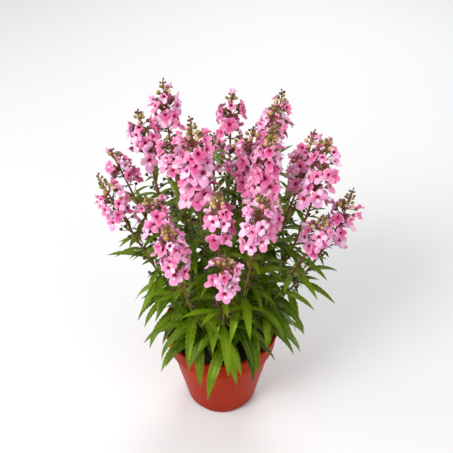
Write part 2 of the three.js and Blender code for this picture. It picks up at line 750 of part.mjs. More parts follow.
/** The flower spike: the stem's top with its stalked flowers and its buds grown on it. */
function makeFlowerSpike(shoot) {
  const skin = new Skin();
  let ring = skin.ring(stemRing(shoot, shoot.splitShare + FIT_GAP / shoot.length));
  skin.base(ring);
  const half = NODE_HEIGHT / 2 / shoot.length;
  for (let pair = 0; pair < shoot.flowerPairs; pair++) {
    const flowers = shoot.flowers.filter((flower) => flower.pair === pair);
    if (flowers.length > 0) {
      ring = skin.grow(ring, stemRing(shoot, flowers[0].share - half));
      const next = skin.ring(stemRing(shoot, flowers[0].share + half));
      const openings = skin.band(ring, next, turnsBySide(shoot, flowers));
      flowers.forEach((flower) => growFlower(skin, openings[sideOf(flower)], flower));
      ring = next;
    }
  }
  ring = skin.grow(ring, stemRing(shoot, shoot.budShare));
  for (let pair = 0; pair < BUD_PAIRS; pair++) {
    const share = THREE.MathUtils.lerp(shoot.budShare, 1, (pair + BUD_PAIR_AT) / BUD_PAIRS);
    const next = skin.ring(stemRing(shoot, share));
    const sides = [0, 1].map((side) => sideOf({ pair: shoot.flowerPairs + pair, side }));
    const openings = skin.band(ring, next, Object.fromEntries(sides.map((side) => [side, 0])));
    sides.forEach((side) => growBud(skin, openings[side], shoot, share, side, 1 - BUD_SHRINK * pair));
    ring = next;
  }
  skin.point(ring, shoot.curve.getPoint(1));
  return skin.geometry();
}

/** Grows a bud from an opening: a spindle of three sides. */
function growBud(skin, opening, shoot, share, side, size) {
  const turn = shoot.turn + (side / STEM_SIDES) * 2 * Math.PI;
  const outward = vec(Math.cos(turn), Math.sin(turn), 0);
  const along = outward.clone().multiplyScalar(Math.cos(rad(BUD_RISE))).setZ(Math.sin(rad(BUD_RISE)));
  const right = vec(-Math.sin(turn), Math.cos(turn), 0);
  const down = right.clone().cross(along);
  const root = shoot.curve.getPoint(share);
  const belly = root.clone().addScaledVector(along, BUD_BELLY * size * BUD_LENGTH);
  const ring = skin.grow(opening.ring, THIRDS.map((angle) => belly.clone()
    .addScaledVector(down, size * BUD_RADIUS * Math.cos(rad(angle)))
    .addScaledVector(right, size * BUD_RADIUS * Math.sin(rad(angle)))));
  skin.point(ring, root.clone().addScaledVector(along, size * BUD_LENGTH));
}

/** Plans every shoot: stems first, then flowers, then leaves from the soil upwards. */
function planPlant() {
  const field = new BeadField();
  const flowering = SHOOTS.map(planShoot);
  const shoots = [...SIDE_SHOOTS.map(planSideShoot), ...flowering];
  shoots.forEach((shoot) => field.add(stemBeads(shoot)));
  flowering.forEach((shoot) => placeFlowers(shoot, field));
  const mostPairs = Math.max(...shoots.map((shoot) => shoot.pairs));
  for (let pair = 0; pair < mostPairs; pair++) {
    for (const shoot of shoots.filter(({ pairs }) => pair < pairs)) {
      const height = (pair + FIRST_PAIR_AT) / shoot.pairs;
      const leaves = [0, 1].map((side) => placeLeaf(shoot, pair, height, side, field));
      shoot.leaves.push(...leaves.filter((leaf) => leaf));
    }
  }
  return shoots.sort((a, b) => a.index - b.index);
}

/** A material of its own for one piece. */
function finish({ color, roughness, faceted = false }) {
  return new THREE.MeshStandardMaterial({ color, roughness, metalness: 0, flatShading: faceted });
}

const FINISHES = {
  pot: { color: 0xb04a28, roughness: 0.45 },
  soil: { color: 0x1c1512, roughness: 0.95 },
  leaf: { color: 0x5c8a1e, roughness: 0.55, faceted: true },
  flower: { color: 0xd96aa8, roughness: 0.7, faceted: true },
};

function addPiece(group, name, geometry, look) {
  const mesh = new THREE.Mesh(geometry, finish(look));
  mesh.name = name;
  group.add(mesh);
}

const plant = new THREE.Group();
const shoots = planPlant();
addPiece(plant, 'pot', makePot(), FINISHES.pot);
addPiece(plant, 'soil', makeSoil(shoots), FINISHES.soil);
for (const shoot of shoots) {
  const number = String(shoot.index + 1).padStart(2, '0');
  addPiece(plant, `leafy_stem_${number}`, makeLeafyStem(shoot), FINISHES.leaf);
  if (shoot.splitShare < 1) {
    addPiece(plant, `flower_spike_${number}`, makeFlowerSpike(shoot), FINISHES.flower);
  }
}

export default plant;
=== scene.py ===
"""The looks of a potted angelonia: pink flower spikes over toothed leaves in a nursery pot.

Sizes are in millimetres and degrees; angles that a function takes or returns are in radians.
Meshes are made in metres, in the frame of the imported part: +Z up, the pot's foot at the origin.
"""

import logging
import math
from dataclasses import dataclass, field, replace
from enum import Enum, IntEnum
from itertools import product

import bpy
import numpy as np
from mathutils import Matrix, Vector, noise

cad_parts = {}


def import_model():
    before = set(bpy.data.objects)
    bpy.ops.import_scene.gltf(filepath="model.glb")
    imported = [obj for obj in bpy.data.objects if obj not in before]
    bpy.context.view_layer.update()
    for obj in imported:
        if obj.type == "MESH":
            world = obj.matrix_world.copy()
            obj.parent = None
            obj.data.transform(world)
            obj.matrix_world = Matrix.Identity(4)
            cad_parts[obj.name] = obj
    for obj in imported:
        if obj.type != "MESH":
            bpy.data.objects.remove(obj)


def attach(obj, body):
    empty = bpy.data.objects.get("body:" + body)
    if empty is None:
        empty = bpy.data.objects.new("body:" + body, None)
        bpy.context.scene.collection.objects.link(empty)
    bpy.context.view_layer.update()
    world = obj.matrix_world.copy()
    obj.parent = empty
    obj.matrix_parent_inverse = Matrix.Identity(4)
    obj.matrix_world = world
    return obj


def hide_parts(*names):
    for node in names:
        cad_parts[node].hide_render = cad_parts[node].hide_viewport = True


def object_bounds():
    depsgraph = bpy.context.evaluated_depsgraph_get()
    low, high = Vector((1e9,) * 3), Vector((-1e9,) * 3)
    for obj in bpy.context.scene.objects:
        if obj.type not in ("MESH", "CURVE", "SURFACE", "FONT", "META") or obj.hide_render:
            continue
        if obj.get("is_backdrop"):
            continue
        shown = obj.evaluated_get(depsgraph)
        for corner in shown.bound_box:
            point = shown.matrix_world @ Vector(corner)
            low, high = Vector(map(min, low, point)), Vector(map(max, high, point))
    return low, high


log = logging.getLogger("angelonia")

MM = 0.001
BODY = "root"
WORD_MASK = 0xFFFFFFFF
UP = np.array([0.0, 0.0, 1.0])
PHASE_SPREAD = 6.3

Array = np.ndarray
Material = bpy.types.Material
Object = bpy.types.Object
Triple = tuple[float, float, float]
Colour = Triple
# A span is a value and how far chance moves it, or else the two ends of a stretch.
Span = tuple[float, float]


class Slot(Enum):
    """The record's material slots."""

    POT = "pot"
    SOIL = "soil"
    LEAF = "leaf"
    FLOWER = "flower"


class Root(IntEnum):
    """What a clearance bead near a root may touch, as the first code of its kind."""

    NONE = 0
    STEM = 1
    LEAVES = 10
    FLOWERS = 100
    FILLERS = 1000
    TUFTS = 1050
    CASES = 1300
    EXTRA_FLOWERS = 1400


class Part(IntEnum):
    """The finishes on a foliage piece and on a stalks piece, by number."""

    BLADE = 0
    STEM = 1
    CALYX = 2
    BUD = 3


def blend(low: float, high: float, share: float) -> float:
    """Returns the value at a share of the way from low to high."""
    return low + (high - low) * share


def smooth(value: float | Array, low: float, high: float) -> float | Array:
    """Returns 0 below low and 1 above high, with a soft step between."""
    share = np.clip((value - low) / (high - low), 0, 1)
    return share * share * (3 - 2 * share)


def unit(vector: Array) -> Array:
    """Returns the vector, or each row of an array of them, at length one."""
    return vector / np.maximum(np.linalg.norm(vector, axis=-1, keepdims=True), 1e-12)


def level(turn: float) -> Array:
    """Returns the level direction at a turn from +X."""
    return np.array([math.cos(turn), math.sin(turn), 0.0])


def sideways(turn: float) -> Array:
    """Returns the level direction a quarter turn on from a turn."""
    return np.array([-math.sin(turn), math.cos(turn), 0.0])


def rising(turn: float, rise: float) -> Array:
    """Returns the direction at a turn from +X and a rise from level."""
    return math.cos(rise) * level(turn) + math.sin(rise) * UP


def even_turns(count: int) -> Array:
    """Returns evenly spaced turns round a circle."""
    return np.arange(count) / count * 2 * np.pi


def circle(count: int) -> Array:
    """Returns evenly spaced level directions, one a row."""
    return np.array([level(turn) for turn in even_turns(count)])


def spokes(axis: Array, turns: Array) -> Array:
    """Returns the directions square to an axis, or to each row of axes, at each turn.

    Args:
        axis: an axis, or axes as rows.
        turns: turns round it.

    Returns:
        The directions, indexed by axis if there are rows, then by turn.
    """
    hint = UP if abs(axis.reshape(-1, 3)[0, 2]) < 0.9 else np.array([1.0, 0.0, 0.0])
    first = unit(np.cross(axis, hint))
    second = np.cross(axis, first)
    return np.cos(turns)[:, None] * first[..., None, :] + np.sin(turns)[:, None] * second[..., None, :]


def arc(start: Array, bend: Array, end: Array, shares: float | Array) -> Array:
    """Returns the point, or rows of points, at shares of a curve drawn towards its bend."""
    at = np.asarray(shares, float)[..., None]
    return (1 - at) ** 2 * start + 2 * (1 - at) * at * bend + at ** 2 * end


def linked(name: str, data: bpy.types.ID) -> Object:
    """Makes an object of some data and links it to the scene.

    Args:
        name: the object's name.
        data: its mesh, light or camera.

    Returns:
        The new object.
    """
    made = bpy.data.objects.new(name, data)
    bpy.context.scene.collection.objects.link(made)
    return made


def dress(mesh: bpy.types.Mesh, materials: list[Material], sharp_from: float) -> None:
    """Gives a mesh its finishes, and smooth shading but for edges sharper than an angle.

    Args:
        mesh: the mesh.
        materials: its finishes.
        sharp_from: the angle, in degrees.
    """
    for material in materials:
        mesh.materials.append(material)
    mesh.polygons.foreach_set("use_smooth", [True] * len(mesh.polygons))
    mesh.set_sharp_from_angle(angle=math.radians(sharp_from))


def settle(piece: Object, slot: Slot, *nodes: str) -> None:
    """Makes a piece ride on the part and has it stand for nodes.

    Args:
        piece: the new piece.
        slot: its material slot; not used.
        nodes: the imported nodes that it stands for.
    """
    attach(piece, BODY)
    if nodes:
        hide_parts(*nodes)
    log.info("%s: %d faces", piece.name, len(piece.data.polygons))


class SeededRandom:
    """Repeatable random numbers from 0 to 1, from a 32-bit mixing generator."""

    def __init__(self, seed: int) -> None:
        """Starts the sequence of a seed."""
        self._state = seed & WORD_MASK

    def __call__(self) -> float:
        """Returns the next number.

        Returns:
            A number from 0 to 1.
        """
        self._state = (self._state + 0x6D2B79F5) & WORD_MASK
        state = self._state
        mixed = ((state ^ (state >> 15)) * (1 | state)) & WORD_MASK
        again = ((mixed ^ (mixed >> 7)) * (61 | mixed)) & WORD_MASK
        mixed = ((mixed + again) & WORD_MASK) ^ mixed
        return ((mixed ^ (mixed >> 14)) & WORD_MASK) / (WORD_MASK + 1)

    def swing(self) -> float:
        """Returns the next number, spread from -1 to 1."""
        return 2 * self() - 1

    def about(self, span: Span) -> float:
        """Returns a value about the span's first number, at most its second away."""
        return span[0] + span[1] * self.swing()

    def angle(self, span: Span) -> float:
        """Returns such a value of a span in degrees, in radians."""
        return math.radians(self.about(span))

    def above(self, span: Span) -> float:
        """Returns a value above the span's first number, by at most its second."""
        return span[0] + span[1] * self()

    def tint(self, span: Span) -> float:
        """Returns a value about the span's first number, kept from 0 to 1."""
        return min(max(self.about(span), 0), 1)


@dataclass
class MeshDraft:
    """Points and faces gathered for one piece, in millimetres.

    Each point carries a grain of three numbers, which a finish reads: where it lies on its
    leaf, petal, bud or stem, and a tint of its own.
    """

    points: list[Array] = field(default_factory=list)
    grains: list[Array] = field(default_factory=list)
    faces: list[list[int]] = field(default_factory=list)
    finishes: list[int] = field(default_factory=list)
    count: int = 0
    sharp_from: float = 62

    def loft(self, rings: Array, marks: tuple[Array | float, ...] = (0, 0, 0), finish: int = 0,
             start: Array | None = None, end: Array | None = None) -> None:
        """Adds a body of rings, each end closed by a point or else by a flat face.

        Args:
            rings: their points, by ring and place.
            marks: the three numbers of their grain, each by ring and place or for all.
            finish: the number of its finish on the piece.
            start: the point that closes the first ring.
            end: the point that closes the last ring.
        """
        around = rings.shape[1]
        last = (len(rings) - 1) * around
        grain = np.stack([np.broadcast_to(mark, rings.shape[:2]) for mark in marks], axis=-1)
        points, grains = list(rings.reshape(-1, 3)), list(grain.reshape(-1, 3))
        pairs = [(place, (place + 1) % around) for place in range(around)]
        faces = [[low + here, low + after, low + around + after, low + around + here]
                 for low in range(0, last, around) for here, after in pairs]
        for tip, base, ahead in ((start, 0, False), (end, last, True)):
            if tip is None:
                order = list(range(base, base + around))
                faces.append(order if ahead else order[::-1])
                continue
            faces += [[*((base + here, base + after) if ahead else (base + after, base + here)), len(points)]
                      for here, after in pairs]
            points.append(tip)
            grains.append(grain[-1 if ahead else 0].mean(axis=0))
        way = -1 if self.is_inside_out(rings) else 1
        self.faces += [[self.count + corner for corner in face[::way]] for face in faces]
        self.points.append(np.array(points))
        self.grains.append(np.array(grains))
        self.finishes += [finish] * len(faces)
        self.count += len(points)

    def is_inside_out(self, rings: Array) -> bool:
        """Tells whether lofted rings face inwards, from the way their widest one runs.

        Args:
            rings: their points, by ring and place.

        Returns:
            True if the faces have to be turned round.
        """
        middles = rings.mean(axis=1)
        spread = np.linalg.norm(rings - middles[:, None], axis=2).mean(axis=1)
        widest = int(np.argmax(spread))
        around = rings[widest] - middles[widest]
        normal = np.cross(around, np.roll(around, -1, axis=0)).sum(axis=0)
        low, high = max(widest - 1, 0), min(widest + 1, len(rings) - 1)
        return float(np.dot(normal, middles[high] - middles[low])) < 0

    def piece(self, name: str, materials: list[Material]) -> Object:
        """Makes the piece's object, smooth shaded, in the part's frame.

        Args:
            name: the piece's name.
            materials: its finishes, in the order of their numbers.

        Returns:
            The new object.
        """
        mesh = bpy.data.meshes.new(name)
        mesh.from_pydata((np.concatenate(self.points) * MM).tolist(), [], self.faces)
        mesh.polygons.foreach_set("material_index", self.finishes)
        grain = mesh.attributes.new("grain", "FLOAT_VECTOR", "POINT")
        grain.data.foreach_set("vector", np.concatenate(self.grains).astype(np.float32).ravel())
        dress(mesh, materials, self.sharp_from)
        mesh.update()
        return linked(name, mesh)


class Flow:
    """What flows out of a material's node, to be summed, banded or fed to another."""

    def __init__(self, sketch: "NodeSketch", socket: bpy.types.NodeSocket) -> None:
        """Holds an output of one of the sketch's nodes."""
        self.sketch = sketch
        self.socket = socket

    def sum(self, kind: str, other: object = 0.0) -> "Flow":
        """Returns the outcome of a sum of a kind with another value."""
        return self.sketch.put("Math", {0: self, 1: other}, operation=kind)

    def __add__(self, other: object) -> "Flow":
        """Returns the two values' total."""
        return self.sum("ADD", other)

    def __sub__(self, other: object) -> "Flow":
        """Returns their difference."""
        return self.sum("SUBTRACT", other)

    def __mul__(self, other: object) -> "Flow":
        """Returns their product."""
        return self.sum("MULTIPLY", other)

    def __abs__(self) -> "Flow":
        """Returns the value without its sign."""
        return self.sum("ABSOLUTE")

    def wave(self) -> "Flow":
        """Returns how far the value is from the nearest whole number."""
        return self.sum("PINGPONG", 0.5)

    def band(self, low: float, high: float) -> "Flow":
        """Returns 0 below low and 1 above high, or the other way round if low is the higher."""
        values = {"Value": self, "From Min": low, "From Max": high}
        return self.sketch.put("MapRange", values, "Result", interpolation_type="SMOOTHSTEP")

    def parts(self) -> tuple["Flow", "Flow", "Flow"]:
        """Returns the three numbers of a place or a grain."""
        outputs = self.sketch.put("SeparateXYZ", {0: self}).socket.node.outputs
        return tuple(Flow(self.sketch, socket) for socket in outputs)


class NodeSketch:
    """A short way to write a material's nodes."""

    def __init__(self, name: str, colour: Colour) -> None:
        """Starts a material with one principled shader.

        Args:
            name: the material's name.
            colour: its plain colour, where nodes aren't read.
        """
        self.material = bpy.data.materials.new(name)
        self.material.use_nodes = True
        self.material.diffuse_color = (*colour, 1)
        self.tree = self.material.node_tree
        self.shader = self.tree.nodes["Principled BSDF"]

    def put(self, kind: str, values: dict | None = None, output: int | str = 0,
            **settings: object) -> Flow:
        """Adds a node.

        Args:
            kind: the node's type, without its common prefix.
            values: numbers, colours or flows, by input name or number.
            output: the wanted output's name or number.
            settings: the node's own properties.

        Returns:
            What flows out of that output.
        """
        node = self.tree.nodes.new("ShaderNode" + kind)
        for name, value in settings.items():
            setattr(node, name, value)
        for name, value in (values or {}).items():
            self.feed(node.inputs[name], value)
        return Flow(self, node.outputs[output])

    def feed(self, socket: bpy.types.NodeSocket, value: object) -> None:
        """Feeds an input from a flow, or sets its number or its colour.

        Args:
            socket: the input.
            value: a flow, a number or a colour.
        """
        if isinstance(value, Flow):
            self.tree.links.new(value.socket, socket)
        else:
            socket.default_value = (*value, 1) if isinstance(value, tuple) else value

    def grain(self) -> tuple[Flow, Flow, Flow]:
        """Returns the three numbers that each point carries."""
        return self.put("Attribute", output="Vector", attribute_name="grain").parts()

    def place(self) -> Flow:
        """Returns the place on the part, in metres."""
        return self.put("TexCoord", output="Object")

    def cloud(self, scale: float, detail: float, place: Flow | None = None) -> Flow:
        """Returns soft noise from 0 to 1 at a scale per metre."""
        values = {"Vector": place or self.place(), "Scale": scale, "Detail": detail}
        return self.put("TexNoise", values, "Fac")

    def mix(self, share: Flow, first: object, second: object) -> Flow:
        """Returns a colour between two."""
        return self.put("Mix", {0: share, 6: first, 7: second}, 2, data_type="RGBA")

    def ramp(self, value: Flow, stops: tuple[tuple[float, Colour], ...]) -> Flow:
        """Returns a colour that follows a value through stops.

        Args:
            value: the value to follow.
            stops: each stop's value and colour, in rising order.

        Returns:
            The colour.
        """
        made = self.put("ValToRGB", {"Fac": value}, "Color")
        elements = made.socket.node.color_ramp.elements
        for element, (position, colour) in zip(elements, (stops[0], stops[-1])):
            element.position, element.color = position, (*colour, 1)
        for position, colour in stops[1:-1]:
            elements.new(position).color = (*colour, 1)
        return made

    def bump(self, height: Flow, strength: float, distance: float) -> None:
        """Feeds the shader's normal from a height of at most a distance."""
        values = {"Height": height, "Strength": strength, "Distance": distance * MM}
        self.feed(self.shader.inputs["Normal"], self.put("Bump", values, "Normal"))

    def finish(self, colour: object, roughness: object, shine: float, **plain: object) -> Material:
        """Sets the shader and returns the material.

        Args:
            colour: its base colour.
            roughness: its roughness.
            shine: its specular level.
            plain: values of other inputs, with _ for a space in their names.

        Returns:
            The finished material.
        """
        plain |= {"Base Color": colour, "Roughness": roughness, "Specular IOR Level": shine}
        for name, value in plain.items():
            self.feed(self.shader.inputs[name.replace("_", " ")], value)
        return self.material


@dataclass(frozen=True)
class PotFinish:
    """Moulded terracotta-coloured plastic, a little scuffed and dusty, with painted shade towards its foot.
    """

    body: Colour = (0.335, 0.014, 0.001)
    worn: Colour = (0.39, 0.03, 0.004)
    # The colour of the painted shade at the pot's foot.
    deep: Colour = (0.25, 0.012, 0.001)
    gloss: Colour = (1.0, 0.22, 0.09)

    def material(self) -> Material:
        """Builds the finish.

        Returns:
            The material.
        """
        sketch = NodeSketch("pot_plastic", self.body)
        place = sketch.place()
        cloudy = sketch.cloud(24, 5).band(0.35, 0.75)
        # Painted shade: the wall darkens towards the deep colour in its lowest 35 mm, near the floor.
        foot = place.parts()[2].band(0.035, 0.0)
        speck = sketch.cloud(420, 2).band(0.66, 0.74)
        colour = sketch.mix(cloudy, self.body, self.worn)
        colour = sketch.mix(foot * 0.45, colour, self.deep)
        colour = sketch.mix(speck * 0.35, colour, self.worn)
        lines = sketch.put("TexWave", {"Vector": place, "Scale": 160.0, "Distortion": 0.6}, "Fac",
                           wave_type="BANDS", bands_direction="Z")
        sketch.bump(sketch.cloud(900, 4) + lines * 0.25, 0.35, 0.12)
        return sketch.finish(colour, cloudy * 0.1 + 0.36, 0.04, Specular_Tint=self.gloss)


@dataclass(frozen=True)
class SoilFinish:
    """Moist peat, near black, with reddish bark and pale fibres by each crumb's tint."""

    wet: Colour = (0.01, 0.007, 0.006)
    peat: Colour = (0.04, 0.024, 0.016)
    bark: Colour = (0.105, 0.042, 0.022)

    def material(self) -> Material:
        """Builds the finish.

        Returns:
            The material.
        """
        sketch = NodeSketch("peat_soil", self.peat)
        _, _, tint = sketch.grain()
        clouds = sketch.cloud(260, 6).band(0.38, 0.68)
        colour = sketch.mix(clouds, self.wet, self.peat)
        colour = sketch.mix((tint + sketch.cloud(90, 2)).band(1.18, 1.3), colour, self.bark)
        sketch.bump(sketch.cloud(700, 6), 0.8, 0.6)
        return sketch.finish(colour, clouds * 0.25 + 0.65, 0.35)


@dataclass(frozen=True)
class LeafFinish:
    """A waxy toothed leaf: pale midrib, arched side veins, and a greyer underside.

    Its grain is the place across from -1 to 1 on top and beyond 1 below, the place along
    from 0 to 1, and a tint.
    """

    deep: Colour = (0.009, 0.032, 0.001)
    fresh: Colour = (0.13, 0.222, 0.003)
    rib: Colour = (0.22, 0.29, 0.04)
    below: Colour = (0.105, 0.17, 0.022)
    gloss: Colour = (0.85, 1.0, 0.28)
    vein_count: float = 11.0

    def material(self) -> Material:
        """Builds the finish.

        Returns:
            The material.
        """
        sketch = NodeSketch("leaf_blade", self.fresh)
        across, along, tint = sketch.grain()
        under = abs(across).sum("GREATER_THAN", 1.5)
        side = abs(abs(across) - under * 3.0)
        cloudy = sketch.cloud(140, 4)
        beat = (along * self.vein_count - side * 0.9).wave()
        vein = beat.band(0.09, 0.02) * side.band(1.0, 0.3)
        rib = side.band(0.11, 0.045)
        # Tint and noise shade each blade from deep to fresh green; the tint's rise with height is partly
        # painted light.
        colour = sketch.mix((tint * 0.75 + cloudy * 0.5).band(0.2, 1.0), self.deep, self.fresh)
        colour = sketch.mix(side.band(0.55, 1.0) * 0.3, colour, self.fresh)
        colour = sketch.mix(vein * 0.28, colour, self.rib)
        colour = sketch.mix(under * 0.65, colour, self.below)
        colour = sketch.mix(rib * 0.75, colour, self.rib)
        sketch.bump(cloudy * 0.3 - (vein + rib), 0.55, 0.3)
        return sketch.finish(colour, cloudy * 0.18 + 0.24, 0.35, Specular_Tint=self.gloss)


@dataclass(frozen=True)
class StemFinish:
    """A ridged stem, green where it is young and red-brown where it is old or in flower.

    Its grain is the place around, the place along, and how red it is.
    """

    green: Colour = (0.15, 0.18, 0.028)
    red: Colour = (0.27, 0.088, 0.038)

    def material(self) -> Material:
        """Builds the finish.

        Returns:
            The material.
        """
        sketch = NodeSketch("stem_bark", self.green)
        around, along, tint = sketch.grain()
        streak = sketch.cloud(1.6, 3, sketch.put("CombineXYZ", {0: around * 9.0, 1: along * 5.0, 2: tint}))
        colour = sketch.mix((tint + (streak - 0.5) * 0.9).band(0.15, 0.85), self.green, self.red)
        sketch.bump(streak, 0.4, 0.15)
        return sketch.finish(colour, 0.5, 0.45)


@dataclass(frozen=True)
class PetalFinish:
    """A pink petal that pales to lilac at its edge, with a crimson throat and a white patch.

    Its grain is the place from the throat at 0 to the edge at 1, the turn from the lowest
    lobe as a share of half a turn, and a tint of each lobe's own.
    """

    throat: Colour = (0.3, 0.01, 0.05)
    heart: Colour = (0.6, 0.05, 0.19)
    pink: Colour = (0.86, 0.25, 0.46)
    rich: Colour = (0.72, 0.1, 0.31)
    lilac: Colour = (0.76, 0.32, 0.62)
    edge: Colour = (0.9, 0.48, 0.69)
    pale: Colour = (0.91, 0.66, 0.8)
    patch: Colour = (0.93, 0.76, 0.86)
    vein_count: float = 34.0

    def material(self) -> Material:
        """Builds the finish.

        Returns:
            The material.
        """
        sketch = NodeSketch("petal", self.pink)
        reach, turn, tint = sketch.grain()
        cloudy = sketch.cloud(260, 3)
        ragged = reach + (cloudy - 0.5) * 0.2
        vein = (turn * self.vein_count).wave().band(0.12, 0.02) * reach.band(0.95, 0.45)
        patch = abs(turn).band(0.17, 0.08) * (reach.band(0.24, 0.3) * reach.band(0.62, 0.44))
        lobes = sketch.ramp(tint, ((0.0, self.rich), (0.28, self.pink), (0.52, self.pink),
                                   (0.7, self.lilac), (0.88, self.edge), (1.0, self.pale)))
        colour = sketch.mix(reach.band(0.62, 1.0) * 0.5, lobes, self.edge)
        colour = sketch.mix(ragged.band(0.44, 0.3) * 0.85, colour, self.heart)
        colour = sketch.mix(patch * (tint.band(0.15, 0.6) * 0.9), colour, self.patch)
        colour = sketch.mix(reach.band(0.26, 0.16), colour, self.throat)
        colour = sketch.mix(vein * 0.2, colour, self.heart)
        sketch.bump(vein + cloudy, 0.3, 0.2)
        return sketch.finish(colour, 0.58, 0.25, Sheen_Weight=0.1)


@dataclass(frozen=True)
class BudFinish:
    """A bud: dark and green at the tip of a spike, cream and then pink as it fills.

    Its grain is the place from its root at 0 to its tip at 1, how ripe it is, and a tint.
    """

    dark: Colour = (0.05, 0.032, 0.01)
    green: Colour = (0.17, 0.16, 0.02)
    yellow: Colour = (0.42, 0.32, 0.045)
    cream: Colour = (0.78, 0.52, 0.3)
    pink: Colour = (0.78, 0.24, 0.36)

    def material(self) -> Material:
        """Builds the finish.

        Returns:
            The material.
        """
        sketch = NodeSketch("flower_bud", self.cream)
        along, ripe, tint = sketch.grain()
        colour = sketch.ramp(ripe + (tint - 0.5) * 0.3, (
            (0.0, self.dark), (0.25, self.green), (0.55, self.yellow), (0.82, self.cream), (1.0, self.pink)))
        colour = sketch.mix(along.band(0.3, 0.0) * 0.7, colour, self.green)
        colour = sketch.mix(along.band(0.75, 1.0) * 0.4, colour, self.pink)
        sketch.bump(sketch.cloud(600, 3), 0.3, 0.15)
        return sketch.finish(colour, 0.5, 0.4)


@dataclass(frozen=True)
class CalyxFinish:
    """The cup of sepals behind a flower, green with red-brown points, or dark once spent.

    Its grain is the place from its root at 0 to its points at 1, how spent it is, and a tint.
    """

    green: Colour = (0.15, 0.18, 0.025)
    red: Colour = (0.23, 0.06, 0.03)
    spent: Colour = (0.016, 0.01, 0.012)

    def material(self) -> Material:
        """Builds the finish.

        Returns:
            The material.
        """
        sketch = NodeSketch("calyx", self.green)
        along, spent, tint = sketch.grain()
        colour = sketch.mix((along * 0.7 + tint * 0.5).band(0.3, 0.9), self.green, self.red)
        colour = sketch.mix(spent.band(0.2, 0.8), colour, self.spent)
        sketch.bump(sketch.cloud(500, 3), 0.4, 0.2)
        return sketch.finish(colour, 0.6, 0.4)


@dataclass(frozen=True)
class FloorFinish:
    """A plain pale floor."""

    pale: Colour = (0.78, 0.78, 0.78)

    def material(self) -> Material:
        """Returns the finish as a material."""
        return NodeSketch("floor_paint", self.pale).finish(self.pale, 0.9, 0.1)


@dataclass
class Finishes:
    """All materials of the part, made once."""

    pot: Material = field(default_factory=PotFinish().material)
    soil: Material = field(default_factory=SoilFinish().material)
    leaf: Material = field(default_factory=LeafFinish().material)
    stem: Material = field(default_factory=StemFinish().material)
    calyx: Material = field(default_factory=CalyxFinish().material)
    bud: Material = field(default_factory=BudFinish().material)
    petal: Material = field(default_factory=PetalFinish().material)

    def greens(self) -> list[Material]:
        """Returns the finishes in the order of Part."""
        return [self.leaf, self.stem, self.calyx, self.bud]


@dataclass(frozen=True)
class PotSizes:
    """The pot's driving sizes."""

    height: float = 117
    lip_radius: float = 65
    lip_height: float = 4.5
    lip_roll: float = 2
    lip_edge: float = 1
    lip_undercut: float = 0.5
    collar_height: float = 25
    collar_radius: float = 62.8
    collar_taper: float = 1
    step_drop: float = 1
    wall_top_radius: float = 58.5
    foot_radius: float = 41
    foot_rounding: float = 3
    wall: float = 1.5
    soil_below_lip: float = 12

    @property
    def soil_level(self) -> float:
        """Height of the soil's top."""
        return self.height - self.soil_below_lip

    @property
    def collar_foot(self) -> float:
        """Height of the collar's foot."""
        return self.height - self.collar_height

    def outline(self) -> Array:
        """Lays out the outside.

        Returns:
            Rows of radius and height, from the foot's middle to the lip.
        """
        lip_foot = self.height - self.lip_height
        return np.array([
            (0, 0),
            (self.foot_radius - self.foot_rounding, 0),
            (self.foot_radius, self.foot_rounding),
            (self.wall_top_radius, self.collar_foot - self.step_drop),
            (self.collar_radius - self.collar_taper, self.collar_foot),
            (self.collar_radius, lip_foot - self.step_drop),
            (self.lip_radius - self.lip_undercut, lip_foot),
            (self.lip_radius, self.height - self.lip_roll),
            (self.lip_radius - self.lip_edge, self.height),
        ])

    def lining(self) -> Array:
        """Lays out the inside.

        Returns:
            Rows of radius and height, from the lip to the floor's middle.
        """
        return np.array([
            (self.lip_radius - self.lip_roll - self.lip_edge, self.height),
            (self.collar_radius - self.wall, self.height - self.lip_height),
            (self.collar_radius - self.collar_taper - self.wall, self.collar_foot + self.wall),
            (self.wall_top_radius - self.wall, self.collar_foot - self.step_drop + self.wall),
            (self.foot_radius - self.wall, self.foot_rounding),
            (self.foot_radius - self.foot_rounding - self.wall, self.wall),
            (0, self.wall),
        ])


@dataclass(frozen=True)
class StemRule:
    """How every stem runs and thins."""

    foot_share: float = 0.24
    radius: float = 1.9
    split_radius: float = 1.4
    tip_radius: float = 0.8
    straight: float = 4
    bare_below_bloom: float = 8
    turn_step: float = 0.37
    seed_first: int = 1000
    seed_step: int = 17
    bead_count: int = 50


@dataclass(frozen=True)
class LeafTries:
    """The lengths, tilts and turns that a leaf tries until it lies clear."""

    lengths: tuple[float, ...] = (1, 0.84, 0.68, 0.54)
    tilts: tuple[float, ...] = (0, 12, -12)
    turns: tuple[float, ...] = (0, 12, -12, 24, -24, 36, -36)


@dataclass(frozen=True)
class LeafRule:
    """How leaves stand and grow."""

    pair_spacing: float = 29.5
    first_pair_at: float = 0.35
    longest: float = 78
    shortest: float = 20
    shrink: float = 0.75
    length_span: Span = (1, 0.12)
    turn: Span = (0, 8)
    width_least: float = 1.5
    width_share: float = 0.13
    taper: float = 0.8
    fullness: float = 0.9
    rises: Span = (48, 58)
    rise_spread: float = 8
    falls: Span = (-88, 14)
    fall_spread: float = 12
    bend: float = 0.62
    fall_hold: float = 1.6
    lean_share: float = 0.6
    samples: int = 24
    bead_sides: tuple[float, ...] = (-0.8, -0.4, 0, 0.4, 0.8)
    bead_share: float = 0.2
    bead_least: float = 0.45
    root_free_reach: float = 9


@dataclass(frozen=True)
class Lobe:
    """One lobe of a flower: its turn from straight down, its reach, and how far it leans out."""

    turn: float
    reach: float
    forward: float


